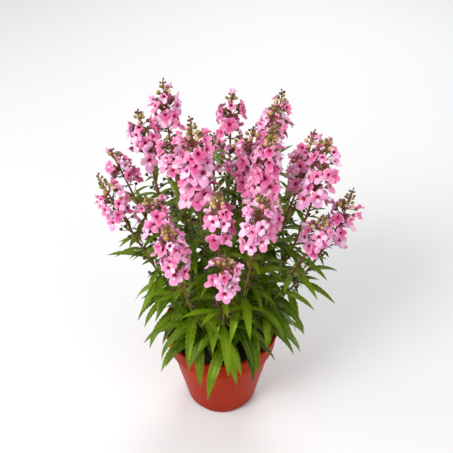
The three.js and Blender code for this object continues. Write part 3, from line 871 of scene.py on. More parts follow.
@dataclass(frozen=True)
class FlowerRule:
    """How flowers stand and spread; reaches of lobes are in flower radii."""

    pair_spacing: float = 11.5
    radius: float = 9.4
    top_shrink: float = 0.2
    size_span: Span = (1, 0.06)
    turn: Span = (0, 12)
    lobes: tuple[Lobe, ...] = (
        Lobe(0, 1.08, 2.2), Lobe(76, 0.92, 0.6), Lobe(148, 0.84, -0.6),
        Lobe(212, 0.84, -0.6), Lobe(284, 0.92, 0.6),
    )
    tube_depth: float = 4.6
    stalk_reach: float = 7.5
    stalk_rise: Span = (36, 14)
    face_rise: float = 16
    turns: tuple[float, ...] = (0, 18, -18, 36, -36)
    bead_middle: float = 3
    bead_lobe_at: float = 0.7
    bead_lobe_share: float = 0.26
    bead_stalk_at: float = 0.6
    bead_stalk: float = 1


@dataclass(frozen=True)
class ShootSpot:
    """One flowering shoot: its tip, how far buds and bloom reach down, how it swings out.

    Its fullness, from 0 to 1, is how large and close together its flowers are.
    """

    tip: Triple
    buds: float
    bloom: float
    swing: float
    fullness: float


@dataclass(frozen=True)
class SideSpot:
    """One short leafy side shoot: its turn round the soil, its distance out, its height."""

    turn: float
    out: float
    tall: float


@dataclass(frozen=True)
class SideRule:
    """How side shoots lean and carry their leaves."""

    lean: float = 0.4
    pairs: int = 5
    leaf_share: float = 0.5
    turn: float = 45


SHOOT_SPOTS = tuple(ShootSpot(*spot) for spot in (
    ((-55, 62, 387), 20, 38, 0.9, 0.7),
    ((-45, 0, 363), 8, 35, 0.7, 0.3),
    ((-79, 40, 366), 14, 42, 0.7, 0.5),
    ((-107, 30, 328), 11, 32, 0.5, 0.2),
    ((-112, -20, 334), 24, 38, 0.55, 0.5),
    ((-65, -45, 326), 11, 40, 0.6, 0.4),
    ((-45, -85, 328), 18, 48, 0.8, 0.6),
    ((-25, -25, 398), 26, 66, 0.6, 1),
    ((11, 75, 364), 10, 38, 0.6, 0.6),
    ((19, 45, 337), 16, 31, 0.5, 0.2),
    ((30, 10, 365), 13, 46, 0.55, 0.3),
    ((61, 70, 371), 18, 32, 0.6, 0.5),
    ((51, 28, 378), 10, 40, 0.55, 0.4),
    ((48, -25, 395), 30, 64, 0.55, 1),
    ((90, 30, 350), 20, 46, 0.7, 0.5),
    ((97, -15, 369), 12, 62, 0.85, 0.6),
    ((128, 0, 302), 26, 50, 0.85, 0.6),
    ((96, -45, 306), 18, 30, 0.7, 0.3),
    ((-1, -62, 348), 24, 38, 0.6, 0.6),
    ((36, -80, 354), 10, 52, 0.7, 0.3),
    ((47, -46, 319), 8, 30, 0.6, 0.2),
    ((4, -95, 301), 14, 38, 0.8, 0.3),
    ((-9, 102, 300), 10, 30, 0.7, 0.3),
    ((-52, 98, 292), 12, 30, 0.75, 0.3),
    ((43, 104, 294), 12, 32, 0.75, 0.3),
    ((88, 84, 290), 12, 30, 0.75, 0.3),
))
SIDE_SPOTS = tuple(SideSpot(*spot) for spot in (
    (-132, 28, 52), (-103, 27, 48), (-74, 27, 54), (-40, 29, 48), (84, 35, 50), (172, 35, 48),
))


@dataclass
class Leaf:
    """One placed blade: where its root is, how it turns and bends, and its size."""

    root: Array
    turn: float
    length: float
    width: float
    rise: float
    fall: float
    height: float
    tint: float = 0.5

    def slopes(self, shares: Array, rule: LeafRule) -> Array:
        """Returns the blade's slope at shares of its length."""
        return self.rise + (self.fall - self.rise) * shares ** rule.bend

    def line(self, rule: LeafRule) -> Array:
        """Returns the blade's middle line.

        Args:
            rule: how leaves grow.

        Returns:
            Its points as rows, from the root to the tip.
        """
        slopes = self.slopes((np.arange(rule.samples) + 0.5) / rule.samples, rule)
        step = self.length / rule.samples
        reach = np.concatenate([[0], np.cumsum(step * np.cos(slopes))])
        lift = np.concatenate([[0], np.cumsum(step * np.sin(slopes))])
        return self.root + reach[:, None] * level(self.turn) + lift[:, None] * UP

    def half(self, shares: Array, rule: LeafRule) -> Array:
        """Returns half the blade's width at shares of its length."""
        return self.width / 2 * np.maximum(np.sin(np.pi * shares ** rule.taper), 0) ** rule.fullness


@dataclass
class Flower:
    """One placed flower: its stalk's root and neck, its middle, and the way it faces."""

    root: Array
    neck: Array
    middle: Array
    facing: Array
    right: Array
    down: Array
    size: float
    turn: float
    share: float

    def point(self, lobe: Lobe, reach: float) -> Array:
        """Returns the point of a lobe at a share of its reach."""
        way = level(math.radians(lobe.turn)) @ np.array([self.down, self.right, self.facing])
        return self.middle + self.size * (reach * lobe.reach) * way + lobe.forward * self.facing


@dataclass
class Shoot:
    """One shoot: its path, the shares of it that carry leaves, bloom and buds, and its items."""

    index: int
    foot: Array
    bend: Array
    tip: Array
    turn: float
    random: SeededRandom
    pairs: int
    split_share: float
    leaf_share: float = 1.0
    flower_pairs: int = 0
    bloom_share: float = 1.0
    bud_share: float = 1.0
    fullness: float = 0.0
    leaves: list[Leaf] = field(default_factory=list)
    flowers: list[Flower] = field(default_factory=list)

    @property
    def length(self) -> float:
        """Distance from foot to tip."""
        return float(np.linalg.norm(self.tip - self.foot))

    @property
    def blooms(self) -> bool:
        """Whether the shoot carries flowers."""
        return self.split_share < 1

    def point(self, share: float | Array) -> Array:
        """Returns the point, or rows of points, at a share of the path."""
        return arc(self.foot, self.bend, self.tip, share)

    def lean(self, share: float, outward: Array) -> float:
        """Measures how far the stem leans towards a level direction.

        Args:
            share: where on the path.
            outward: the direction.

        Returns:
            The lean from upright.
        """
        delta = 1e-4
        along = unit(self.point(min(share + delta, 1)) - self.point(max(share - delta, 0)))
        return math.atan2(along[2], float(np.dot(along, outward))) - math.pi / 2

    def radii(self, shares: Array, rule: StemRule) -> Array:
        """Works out the stem's radii.

        Args:
            shares: shares of its path.
            rule: how stems thin.

        Returns:
            The radius at each share, before it is slimmed for its looks.
        """
        below = blend(rule.radius, rule.split_radius, shares / self.split_share)
        above = (shares - self.split_share) / (1 - self.split_share) if self.blooms else 0
        return np.where(shares < self.split_share, below, blend(rule.split_radius, rule.tip_radius, above))

    def pair_turn(self, pair: float, side: int) -> float:
        """Returns the direction of one of a pair."""
        return self.turn + math.radians(90 * pair + 180 * side)


def beads(places: Array, radii: Array | float, shoot: int, roots: Array | int) -> Array:
    """Returns beads as rows, each of its place, radius, shoot and root code."""
    marks = [np.broadcast_to(mark, len(places)) for mark in (radii, shoot, roots)]
    return np.column_stack([places, *marks])


class BeadField:
    """Small spheres that stand for stems, blades and flowers, asked whether others touch them."""

    GAP = 0.6
    WIDEST = 3.0
    FIRST_ROOM = 4096

    def __init__(self) -> None:
        """Starts an empty field."""
        self._columns = np.empty((6, self.FIRST_ROOM))
        self._count = 0

    def add(self, rows: Array) -> None:
        """Adds rows of beads.

        Args:
            rows: the rows.
        """
        while self._count + len(rows) > self._columns.shape[1]:
            self._columns = np.concatenate([self._columns, np.empty_like(self._columns)], axis=1)
        self._columns[:, self._count:self._count + len(rows)] = rows.T
        self._count += len(rows)

    def is_clear(self, rows: Array, gap: float) -> bool:
        """Tells whether beads touch none but their own stem and their pair's root.

        Args:
            rows: rows of beads.
            gap: the least space between beads.

        Returns:
            True if none touches another.
        """
        reach = rows[:, 3].max() + self.WIDEST + gap
        near = self._columns[:, :self._count]
        for axis in range(3):
            low, high = rows[:, axis].min() - reach, rows[:, axis].max() + reach
            near = near[:, (near[axis] > low) & (near[axis] < high)]
        squares = (near[:3] ** 2).sum(axis=0)
        # Every fifth row runs down a blade's middle: where those touch, the rest needn't be asked.
        for part in (rows[2::5], rows):
            apart = (part[:, :3] ** 2).sum(axis=1)[:, None] + squares - 2 * part[:, :3] @ near[:3]
            least = np.maximum(part[:, 3][:, None] + near[3] + gap, 0)
            mine, other = np.nonzero(apart <= least ** 2)
            own = (near[5, other] == part[mine, 5]) | (near[5, other] == Root.STEM)
            joined = (part[mine, 5] > 0) & (part[mine, 4] == near[4, other]) & own
            if not joined.all():
                return False
        return True

    def claim(self, rows: Array, gap: float = GAP) -> bool:
        """Adds beads if they lie clear, and tells whether they do.

        Args:
            rows: rows of beads.
            gap: the least space between beads.

        Returns:
            True if they lie clear and were added.
        """
        clear = self.is_clear(rows, gap)
        if clear:
            self.add(rows)
        return clear


@dataclass
class PlantLayout:
    """Where every stem, leaf and flower goes: the rule that the solids follow too."""

    pot: PotSizes = PotSizes()
    stem: StemRule = StemRule()
    leaf: LeafRule = LeafRule()
    flower: FlowerRule = FlowerRule()
    side: SideRule = SideRule()
    soil_lump: float = 0.9

    def __post_init__(self) -> None:
        """Places everything: stems, then flowers, then leaves from the soil upwards."""
        self.field = BeadField()
        flowering = [self.plan_shoot(spot, index) for index, spot in enumerate(SHOOT_SPOTS)]
        sides = [self.plan_side(spot, order) for order, spot in enumerate(SIDE_SPOTS)]
        self.shoots = [*flowering, *sides]
        shares = np.linspace(0, 1, self.stem.bead_count + 1)
        for shoot in [*sides, *flowering]:
            radii = shoot.radii(shares, self.stem)
            self.field.add(beads(shoot.point(shares), radii, shoot.index, Root.STEM))
        for shoot in flowering:
            self.place_flowers(shoot)
        for pair in range(max(shoot.pairs for shoot in self.shoots)):
            for shoot in [*sides, *flowering]:
                for side in range(2 if pair < shoot.pairs else 0):
                    leaf = self.wished_leaf(shoot, pair, side, shoot.random)
                    shoot.leaves += self.try_leaf(shoot, leaf, Root.LEAVES + pair)

    @property
    def stem_start(self) -> float:
        """Height at which stems begin to lean."""
        return self.pot.soil_level + self.stem.straight

    def height(self, shoot: Shoot, pair: float) -> float:
        """Returns the height of a leaf pair, as a share of the leafy part of its shoot."""
        return (pair + self.leaf.first_pair_at) / shoot.pairs

    def random(self, index: int) -> SeededRandom:
        """Returns the random numbers of a shoot."""
        return SeededRandom(self.stem.seed_first + self.stem.seed_step * index)

    def plan_shoot(self, spot: ShootSpot, index: int) -> Shoot:
        """Plans one flowering shoot.

        Args:
            spot: where it stands.
            index: its number.

        Returns:
            The shoot, still bare.
        """
        rule = self.stem
        tip = np.array(spot.tip, float)
        foot = np.array([rule.foot_share * tip[0], rule.foot_share * tip[1], self.stem_start])
        bend = foot + (tip - foot) * spot.swing
        bend[2] = (foot[2] + tip[2]) / 2
        length = float(np.linalg.norm(tip - foot))
        crown = spot.buds + spot.bloom
        bare = length - crown - rule.bare_below_bloom
        return Shoot(
            index=index, foot=foot, bend=bend, tip=tip, random=self.random(index),
            turn=math.radians(360 * ((index * rule.turn_step) % 1)),
            pairs=math.floor(bare / self.leaf.pair_spacing + 0.5),
            split_share=1 - (crown + rule.bare_below_bloom) / length,
            flower_pairs=math.floor(spot.bloom / self.flower.pair_spacing + 0.5),
            bloom_share=1 - crown / length, bud_share=1 - spot.buds / length, fullness=spot.fullness,
        )

    def plan_side(self, spot: SideSpot, order: int) -> Shoot:
        """Plans one short side shoot.

        Args:
            spot: where it stands.
            order: its number among the side shoots.

        Returns:
            The shoot, still bare.
        """
        outward = level(math.radians(spot.turn))
        foot = outward * spot.out + self.stem_start * UP
        tip = foot + outward * self.side.lean * spot.tall + spot.tall * UP
        index = len(SHOOT_SPOTS) + order
        return Shoot(
            index=index, foot=foot, bend=(foot + tip) / 2, tip=tip, random=self.random(index),
            turn=math.radians(spot.turn + self.side.turn),
            pairs=self.side.pairs, split_share=1, leaf_share=self.side.leaf_share,
        )

    def leaf_beads(self, leaf: Leaf, shoot: Shoot, code: int) -> Array:
        """Returns the beads of one blade.

        Args:
            leaf: the blade.
            shoot: its shoot.
            code: the root code of the beads near its root.

        Returns:
            Rows of beads.
        """
        rule = self.leaf
        middles = leaf.line(rule)[1:]
        halves = leaf.half(np.arange(1, rule.samples + 1) / rule.samples, rule)
        spread = np.array(rule.bead_sides)[None, :, None] * halves[:, None, None] * sideways(leaf.turn)
        places = (middles[:, None, :] + spread).reshape(-1, 3)
        radii = rule.bead_share * halves + rule.bead_least
        close = np.linalg.norm(middles - leaf.root, axis=1) < rule.root_free_reach
        roots = np.where(close, code, Root.NONE)
        sides = len(rule.bead_sides)
        return beads(places, np.repeat(radii, sides), shoot.index, np.repeat(roots, sides))

    def is_clear_of_pot(self, rows: Array) -> bool:
        """Tells whether beads keep off the pot's wall and the soil.

        Args:
            rows: rows of beads.

        Returns:
            True if none touches either.
        """
        pot = self.pot
        out = np.hypot(rows[:, 0], rows[:, 1])
        reach = 2 * BeadField.WIDEST
        close = (out < pot.lip_radius + reach) & (rows[:, 2] < pot.height + reach)
        if not close.any():
            return True
        out, height, radius = out[close], rows[close, 2], rows[close, 3]
        floor = pot.soil_level + self.soil_lump + radius + BeadField.GAP
        if np.any((out < pot.lip_radius) & (height < floor)):
            return False
        place = np.stack([out, height], axis=1)
        corners = pot.outline()
        for start, end in zip(corners[:-1], corners[1:]):
            way = end - start
            share = np.clip((place - start) @ way / (way @ way), 0, 1)
            apart = np.linalg.norm(place - start - share[:, None] * way, axis=1)
            if np.any(apart <= radius + pot.wall + BeadField.GAP):
                return False
        return True

    def try_leaf(self, shoot: Shoot, leaf: Leaf, code: int, tries: LeafTries = LeafTries(),
                 gap: float = BeadField.GAP) -> list[Leaf]:
        """Tries lengths, tilts and turns for a leaf; the first that lies clear is kept.

        Args:
            shoot: its shoot.
            leaf: the leaf as wished, its rise without the stem's lean.
            code: the root code of its beads.
            tries: the lengths, tilts and turns to try.
            gap: the least space to other beads.

        Returns:
            The leaf as placed, or none.
        """
        rule = self.leaf
        share = leaf.height * shoot.split_share
        for scale, tilt, extra in product(tries.lengths, tries.tilts, tries.turns):
            turn = leaf.turn + math.radians(extra)
            lean = rule.lean_share * shoot.lean(share, level(turn))
            tried = replace(
                leaf, turn=turn, length=leaf.length * scale,
                width=rule.width_least + rule.width_share * leaf.length * scale,
                rise=leaf.rise + math.radians(tilt) + lean, fall=leaf.fall + math.radians(tilt),
            )
            rows = self.leaf_beads(tried, shoot, code)
            if self.is_clear_of_pot(rows) and self.field.claim(rows, gap):
                return [tried]
        return []

    def wished_leaf(self, shoot: Shoot, pair: float, side: int, random: SeededRandom) -> Leaf:
        """Returns a leaf as it would stand with nothing in its way.

        Args:
            shoot: its shoot.
            pair: its pair's number, with a fraction between pairs.
            side: which of the pair it is, 0 or 1.
            random: the numbers that vary it.

        Returns:
            The leaf, its width not set.
        """
        rule = self.leaf
        height = self.height(shoot, pair)
        grown = height * shoot.leaf_share
        blade = rule.shortest + (rule.longest - rule.shortest) * (1 - grown) ** rule.shrink
        turn = shoot.pair_turn(pair, side) + random.angle(rule.turn)
        length = blade * random.about(rule.length_span)
        rise = random.angle((blend(*rule.rises, grown), rule.rise_spread))
        fall = random.angle((blend(*rule.falls, grown ** rule.fall_hold), rule.fall_spread))
        return Leaf(shoot.point(height * shoot.split_share), turn, length, 0, rise, fall, height)

    def flower_beads(self, flower: Flower, shoot: Shoot, code: int) -> Array:
        """Returns the beads of one flower.

        Args:
            flower: the flower.
            shoot: its shoot.
            code: the root code of its stalk's bead.

        Returns:
            Rows of beads: its middle, its lobes and its stalk.
        """
        rule = self.flower
        lobes = [flower.point(lobe, rule.bead_lobe_at) for lobe in rule.lobes]
        stalk = flower.root + (flower.neck - flower.root) * rule.bead_stalk_at
        radii = [rule.bead_middle, *[rule.bead_lobe_share * flower.size] * len(lobes), rule.bead_stalk]
        roots = [Root.NONE] * (len(lobes) + 1) + [code]
        return beads(np.array([flower.middle, *lobes, stalk]), radii, shoot.index, roots)

    def try_flower(self, shoot: Shoot, share: float, turn: float, rise: float, size: float, code: int,
                   turns: tuple[float, ...], gap: float = BeadField.GAP) -> list[Flower]:
        """Tries turns for a flower; the first that lies clear is kept.

        Args:
            shoot: its shoot.
            share: where on the path its stalk begins.
            turn: the way that it should face.
            rise: its stalk's slope on an upright stem.
            size: its radius.
            code: the root code of its stalk's bead.
            turns: the turns to try, in degrees from the one wished.
            gap: the least space to other beads.

        Returns:
            The flower as placed, or none.
        """
        rule = self.flower
        root = shoot.point(share)
        for extra in turns:
            way = turn + math.radians(extra)
            slope = rise + self.leaf.lean_share * shoot.lean(share, level(way))
            neck = root + rule.stalk_reach * rising(way, slope)
            facing, right = rising(way, math.radians(rule.face_rise)), sideways(way)
            middle = neck + rule.tube_depth * facing
            flower = Flower(root, neck, middle, facing, right, np.cross(right, facing), size, way, share)
            if self.field.claim(self.flower_beads(flower, shoot, code), gap):
                return [flower]
        return []

    def place_flowers(self, shoot: Shoot) -> None:
        """Places the flowers of one shoot, pair by pair up the bloom.

        Args:
            shoot: the shoot.
        """
        rule, random = self.flower, shoot.random
        for pair in range(shoot.flower_pairs):
            height = pair / shoot.flower_pairs
            share = blend(shoot.bloom_share, shoot.bud_share, height)
            for side in range(2):
                size = rule.radius * (1 - rule.top_shrink * height) * random.about(rule.size_span)
                rise = random.angle(rule.stalk_rise)
                turn = shoot.pair_turn(pair, side) + random.angle(rule.turn)
                code = Root.FLOWERS + pair
                shoot.flowers += self.try_flower(shoot, share, turn, rise, size, code, rule.turns)


@dataclass
class TubeMaker:
    """Makes round stems and stalks along a line of points."""

    sides: int = 8
    finish: int = Part.STEM
    ridges: int = 4
    blunt: float = 0.5
    grain_step: float = 0.25

    def build(self, draft: MeshDraft, points: Array, radii: float | Array,
              tints: float | Array, ridge: float = 0.0) -> None:
        """Adds one tube.

        Args:
            draft: its piece.
            points: its middle line, one point a row.
            radii: its radius, or one for each point.
            tints: its tint, or one for each point.
            ridge: how far every other corner stands out, as a share of the radius.
        """
        radii, tints = np.broadcast_to(radii, len(points)), np.broadcast_to(tints, len(points))
        ways = unit(np.gradient(points, axis=0))
        turns = even_turns(self.sides)
        wave = 1 + ridge * np.cos(self.ridges * turns)
        rings = points[:, None] + spokes(ways, turns) * (radii[:, None] * wave)[:, :, None]
        along = np.linspace(0, self.grain_step * len(points), len(points))[:, None]
        end = points[-1] + ways[-1] * radii[-1] * self.blunt
        draft.loft(rings, (np.abs(turns / np.pi - 1), along, tints[:, None]), self.finish, end=end)


@dataclass
class LeafMaker:
    """Makes blades: keeled and cupped, with forward-pointing teeth and a raised rib below."""

    rule: LeafRule
    tooth_pitch: float = 5.0
    tooth_depth: float = 0.13
    tooth_lean: float = 0.72
    notch_depth: float = 0.35
    toothless_share: float = 0.2
    toothed_to: float = 0.97
    inner_share: float = 0.4
    foot_shares: tuple[float, ...] = (0.0, 0.06, 0.13)
    tip_share: float = 0.985
    plain_shares: tuple[float, ...] = (0.0, 0.16, 0.42, 0.7, 0.94)
    plain_thickness: float = 0.7
    cup: float = 0.2
    cup_power: float = 1.5
    swell: float = 0.1
    rib_sink: float = 0.22
    rib_ridge: float = 0.75
    rib_taper: float = 0.7
    rib_full_half: float = 3
    edge_thickness: float = 0.28
    edge_taper: float = 0.3
    least_half: float = 0.75
    least_share: float = 0.3
    ripple: float = 0.07
    ripples: int = 2
    top_places: tuple[float, ...] = (1.0, 0.5, 0.0, -0.5, -1.0)
    under_places: tuple[float, ...] = (-0.5, 0.0, 0.5)
    under_mark: float = 3

    def rows(self, length: float, plain: bool) -> tuple[Array, Array]:
        """Lays out the rows of a blade.

        Args:
            length: the blade's length.
            plain: whether it has no teeth.

        Returns:
            The share of the length at each row, and how far its edge stands out.
        """
        if plain:
            return np.array(self.plain_shares), np.zeros(len(self.plain_shares))
        count = max(3, round(length * (1 - self.toothless_share) / self.tooth_pitch))
        pitch = (self.toothed_to - self.toothless_share) / count
        shares, teeth = [*self.foot_shares], [0.0] * len(self.foot_shares)
        for number in range(count):
            notch = self.toothless_share + number * pitch
            depth = self.tooth_depth * min(1, (number + 1) / 3, (count - number) / 3)
            shares += [notch, notch + self.tooth_lean * pitch]
            teeth += [-self.notch_depth * depth, depth]
        return np.array([*shares, self.tip_share]), np.array([*teeth, 0.0])

    def build(self, draft: MeshDraft, leaf: Leaf, plain: bool = False) -> None:
        """Adds one blade.

        Args:
            draft: its piece.
            leaf: the blade's place and size.
            plain: whether it is a small one with no teeth.
        """
        shares, teeth = self.rows(leaf.length, plain)
        line = leaf.line(self.rule)
        at = np.linspace(0, 1, len(line))
        middles = np.stack([np.interp(shares, at, line[:, axis]) for axis in range(3)], axis=1)
        slopes = leaf.slopes(shares, self.rule)[:, None]
        ups = np.cos(slopes) * UP - np.sin(slopes) * level(leaf.turn)
        least = min(self.least_half, leaf.width * self.least_share) * (1 - shares)
        half = np.maximum(leaf.half(shares, self.rule), least)[:, None]
        share, teeth = shares[:, None], teeth[:, None]

        places = np.array([*self.top_places, *self.under_places])
        top = np.arange(len(places)) < len(self.top_places)
        away, middle = np.abs(places), places == 0
        edge = half * (1 + np.where(away == 1, 1, self.inner_share * away) * top * teeth)
        lift = half * (self.cup * away ** self.cup_power + self.swell * np.sin(np.pi * away))
        wave = np.sin(self.ripples * 2 * np.pi * share + PHASE_SPREAD * leaf.tint + leaf.turn)
        lift = lift + self.ripple * half * wave * places * away
        thin = self.edge_thickness * (self.plain_thickness if plain else 1)
        ridge = self.rib_ridge * (1 - self.rib_taper * share) * np.minimum(1, half / self.rib_full_half)
        sunk = middle * self.rib_sink * (1 - share)
        lift = lift - np.where(top, sunk, thin * (1 - self.edge_taper * share) + middle * ridge)

        across = (edge * places)[..., None] * sideways(leaf.turn)
        rings = middles[:, None] + across + lift[..., None] * ups[:, None]
        draft.loft(rings, (places + self.under_mark * ~top, share, leaf.tint), Part.BLADE, end=line[-1])


@dataclass
class FlowerMaker:
    """Makes open flowers: five round lobes about a sunk crimson throat, a tube and a calyx."""

    rule: FlowerRule
    lobe_roundness: float = 0.4
    lobe_steps: tuple[float, ...] = (0.0, 0.1, 0.3, 0.62)
    lobe_reach: float = 0.42
    notch_share: float = 0.4
    ruffle_turn: float = 7
    ruffle_reach: float = 0.12
    ruffle_forward: float = 2.4
    throat_share: float = 0.17
    throat_edge: float = 0.04
    throat_depth: float = 2.4
    throat_foot: float = 0.08
    throat_sink: float = 0.9
    tube_share: float = 0.22
    thickness: float = 0.3
    front_shares: tuple[float, ...] = (0.0, 0.36, 0.72, 1.0)
    back_shares: tuple[float, ...] = (0.96, 0.4)
    neck_radius: float = 0.85
    tint_spread: float = 0.45
    fold_narrowing: float = 0.45
    fold_depth: float = 4.5
    curl: float = 0.8
    lean_power: float = 1.3
    lobe_half_turn: float = 0.6
    edge_droop: float = 1.3
    ripples: tuple[Span, Span] = ((0.35, 7), (0.3, 11))

    def turns(self) -> Array:
        """Returns the turns of the corners round a flower, closer together at the notches.

        Returns:
            The turns, in rising order.
        """
        found = []
        middles = [lobe.turn for lobe in self.rule.lobes]
        before, after = [middles[-1] - 360, *middles], [*middles[1:], middles[0] + 360]
        for low, middle, high in zip(before, middles, after):
            left, right = (low + middle) / 2, (middle + high) / 2
            found += [blend(left, middle, step) for step in self.lobe_steps]
            found += [middle] + [blend(right, middle, step) for step in self.lobe_steps[:0:-1]]
        return np.radians(found)

    def outline(self, turns: Array, lobes: list[Lobe]) -> tuple[Array, ...]:
        """Works out a flower's edge.

        Args:
            turns: the turns of its corners.
            lobes: its lobes.

        Returns:
            At each turn: the reach, the forward lean, the offset from the nearest lobe's
            middle, and that lobe's number.
        """
        middles = np.radians([[lobe.turn] for lobe in lobes])
        lengths = np.array([[lobe.reach] for lobe in lobes])
        leans = np.array([[lobe.forward] for lobe in lobes])
        away = (turns - middles + np.pi) % (2 * np.pi) - np.pi
        radius = self.lobe_roundness * lengths
        centre = lengths - radius
        inside = radius ** 2 - (centre * np.sin(away)) ** 2
        hit = (np.abs(away) < np.pi / 2) & (inside > 0)
        edge = np.where(hit, centre * np.cos(away) + np.sqrt(np.maximum(inside, 0)), 0)
        weight = np.exp(-(away / self.lobe_reach) ** 2)
        number = np.argmin(np.abs(away), axis=0)
        return (np.maximum(self.notch_share, edge.max(axis=0)),
                (weight * leans).sum(axis=0) / (1e-9 + weight.sum(axis=0)),
                away[number, np.arange(len(turns))], number)

    def ruffled(self, random: SeededRandom) -> list[Lobe]:
        """Returns the lobes of one flower, each a little longer, turned or bent.

        Args:
            random: the numbers that vary them.

        Returns:
            The varied lobes.
        """
        return [Lobe(lobe.turn + self.ruffle_turn * random.swing(),
                     lobe.reach * (1 + self.ruffle_reach * random.swing()),
                     lobe.forward + self.ruffle_forward * random.swing()) for lobe in self.rule.lobes]

    def build(self, draft: MeshDraft, flower: Flower, random: SeededRandom, fold: float) -> None:
        """Adds one open flower.

        Args:
            draft: its piece.
            flower: its place and size.
            random: the numbers that ruffle and tint its lobes.
            fold: how far its lobes are folded forward, from 0 for open to 1.
        """
        turns = self.turns()
        reach, forward, offset, number = self.outline(turns, self.ruffled(random))
        base = random()
        tints = np.clip([random.about((base, self.tint_spread)) for _ in self.rule.lobes], 0, 1)[number]
        curls = np.array([random.swing() for _ in self.rule.lobes])[number]
        phase = PHASE_SPREAD * random()
        broad, fine = self.ripples
        ripple = broad[0] * np.sin(broad[1] * turns + phase) + fine[0] * np.cos(fine[1] * turns + 2 * phase)

        share = np.array([*self.front_shares, *self.back_shares])[:, None]
        behind = (np.arange(len(share)) >= len(self.front_shares))[:, None]
        droop = self.edge_droop * (offset / self.lobe_half_turn) ** 2 * share
        depth = forward * share ** self.lean_power + self.curl * (1 + curls) * np.sin(np.pi * share) - droop
        depth += ripple * share ** 2 + (self.fold_depth * fold - self.curl * curls) * share
        depth -= behind * self.thickness * (2 - share)
        inner = self.throat_share + self.throat_edge
        radius = inner + (reach * (1 - self.fold_narrowing * fold) - inner) * share
        rows = [(self.throat_foot, -self.throat_depth, 0.0), (self.throat_share, -self.throat_sink, 0.22),
                *zip(radius, depth, 0.28 + 0.72 * share), (self.tube_share, -self.throat_depth, 0.6),
                (self.neck_radius / flower.size, -self.rule.tube_depth, 0.6)]
        radius, depth, mark = (np.array([np.broadcast_to(value, len(turns)) for value in column])[..., None]
                               for column in zip(*rows))

        spread = flower.down * np.cos(turns)[:, None] + flower.right * np.sin(turns)[:, None]
        rings = flower.middle + spread * (radius * flower.size) + depth * flower.facing
        signed = (turns + np.pi) % (2 * np.pi) - np.pi
        start = flower.middle - flower.facing * self.throat_depth
        draft.loft(rings, (mark[..., 0], signed / np.pi, tints), start=start)


@dataclass
class CalyxMaker:
    """Makes the cup of five pointed sepals that holds a flower, a bud or a seed case."""

    around: int = 10
    levels: tuple[Triple, ...] = (
        (0.2, 0.0, 0.0), (0.56, 0.46, 0.0), (0.5, 0.72, 0.32),
    )
    flare: float = 0.14
    floor: float = 0.55

    def build(self, draft: MeshDraft, base: Array, axis: Array, size: float, spent: float,
              tint: float) -> None:
        """Adds one cup.

        Args:
            draft: its piece.
            base: the middle of its root.
            axis: the way it opens.
            size: its height to the points of its sepals.
            spent: how dark it has gone, from 0 to 1.
            tint: a tint of its own.
        """
        points = 1 - np.arange(self.around) % 2
        radius, height, reach = (np.array(column)[:, None] for column in zip(*self.levels))
        rise = height + reach * points
        wide = (radius + self.flare * points * (reach > 0))[..., None]
        rings = base + size * (spokes(axis, even_turns(self.around)) * wide + rise[..., None] * axis)
        draft.loft(rings, (rise, spent, tint), Part.CALYX, end=base + self.floor * size * axis)


@dataclass
class BudMaker:
    """Makes closed buds and seed cases: small round bodies with a blunt tip."""

    around: int = 8
    finish: int = Part.BUD
    profile: tuple[tuple[float, float], ...] = (
        (0.35, 0.0), (0.82, 0.18), (1.0, 0.42), (0.92, 0.66), (0.58, 0.88), (0.25, 0.98),
    )

    def build(self, draft: MeshDraft, base: Array, axis: Array, radius: float,
              length: float, ripe: float, tint: float) -> None:
        """Adds one bud.

        Args:
            draft: its piece.
            base: the middle of its root.
            axis: the way it points.
            radius: its widest radius.
            length: its length.
            ripe: how ripe it is, from 0 to 1.
            tint: a tint of its own.
        """
        wide, high = (np.array(column)[:, None] for column in zip(*self.profile))
        spread = spokes(axis, even_turns(self.around))
        rings = base + spread * (radius * wide)[..., None] + (length * high)[..., None] * axis
        draft.loft(rings, (high, ripe, tint), self.finish, end=base + axis * length)


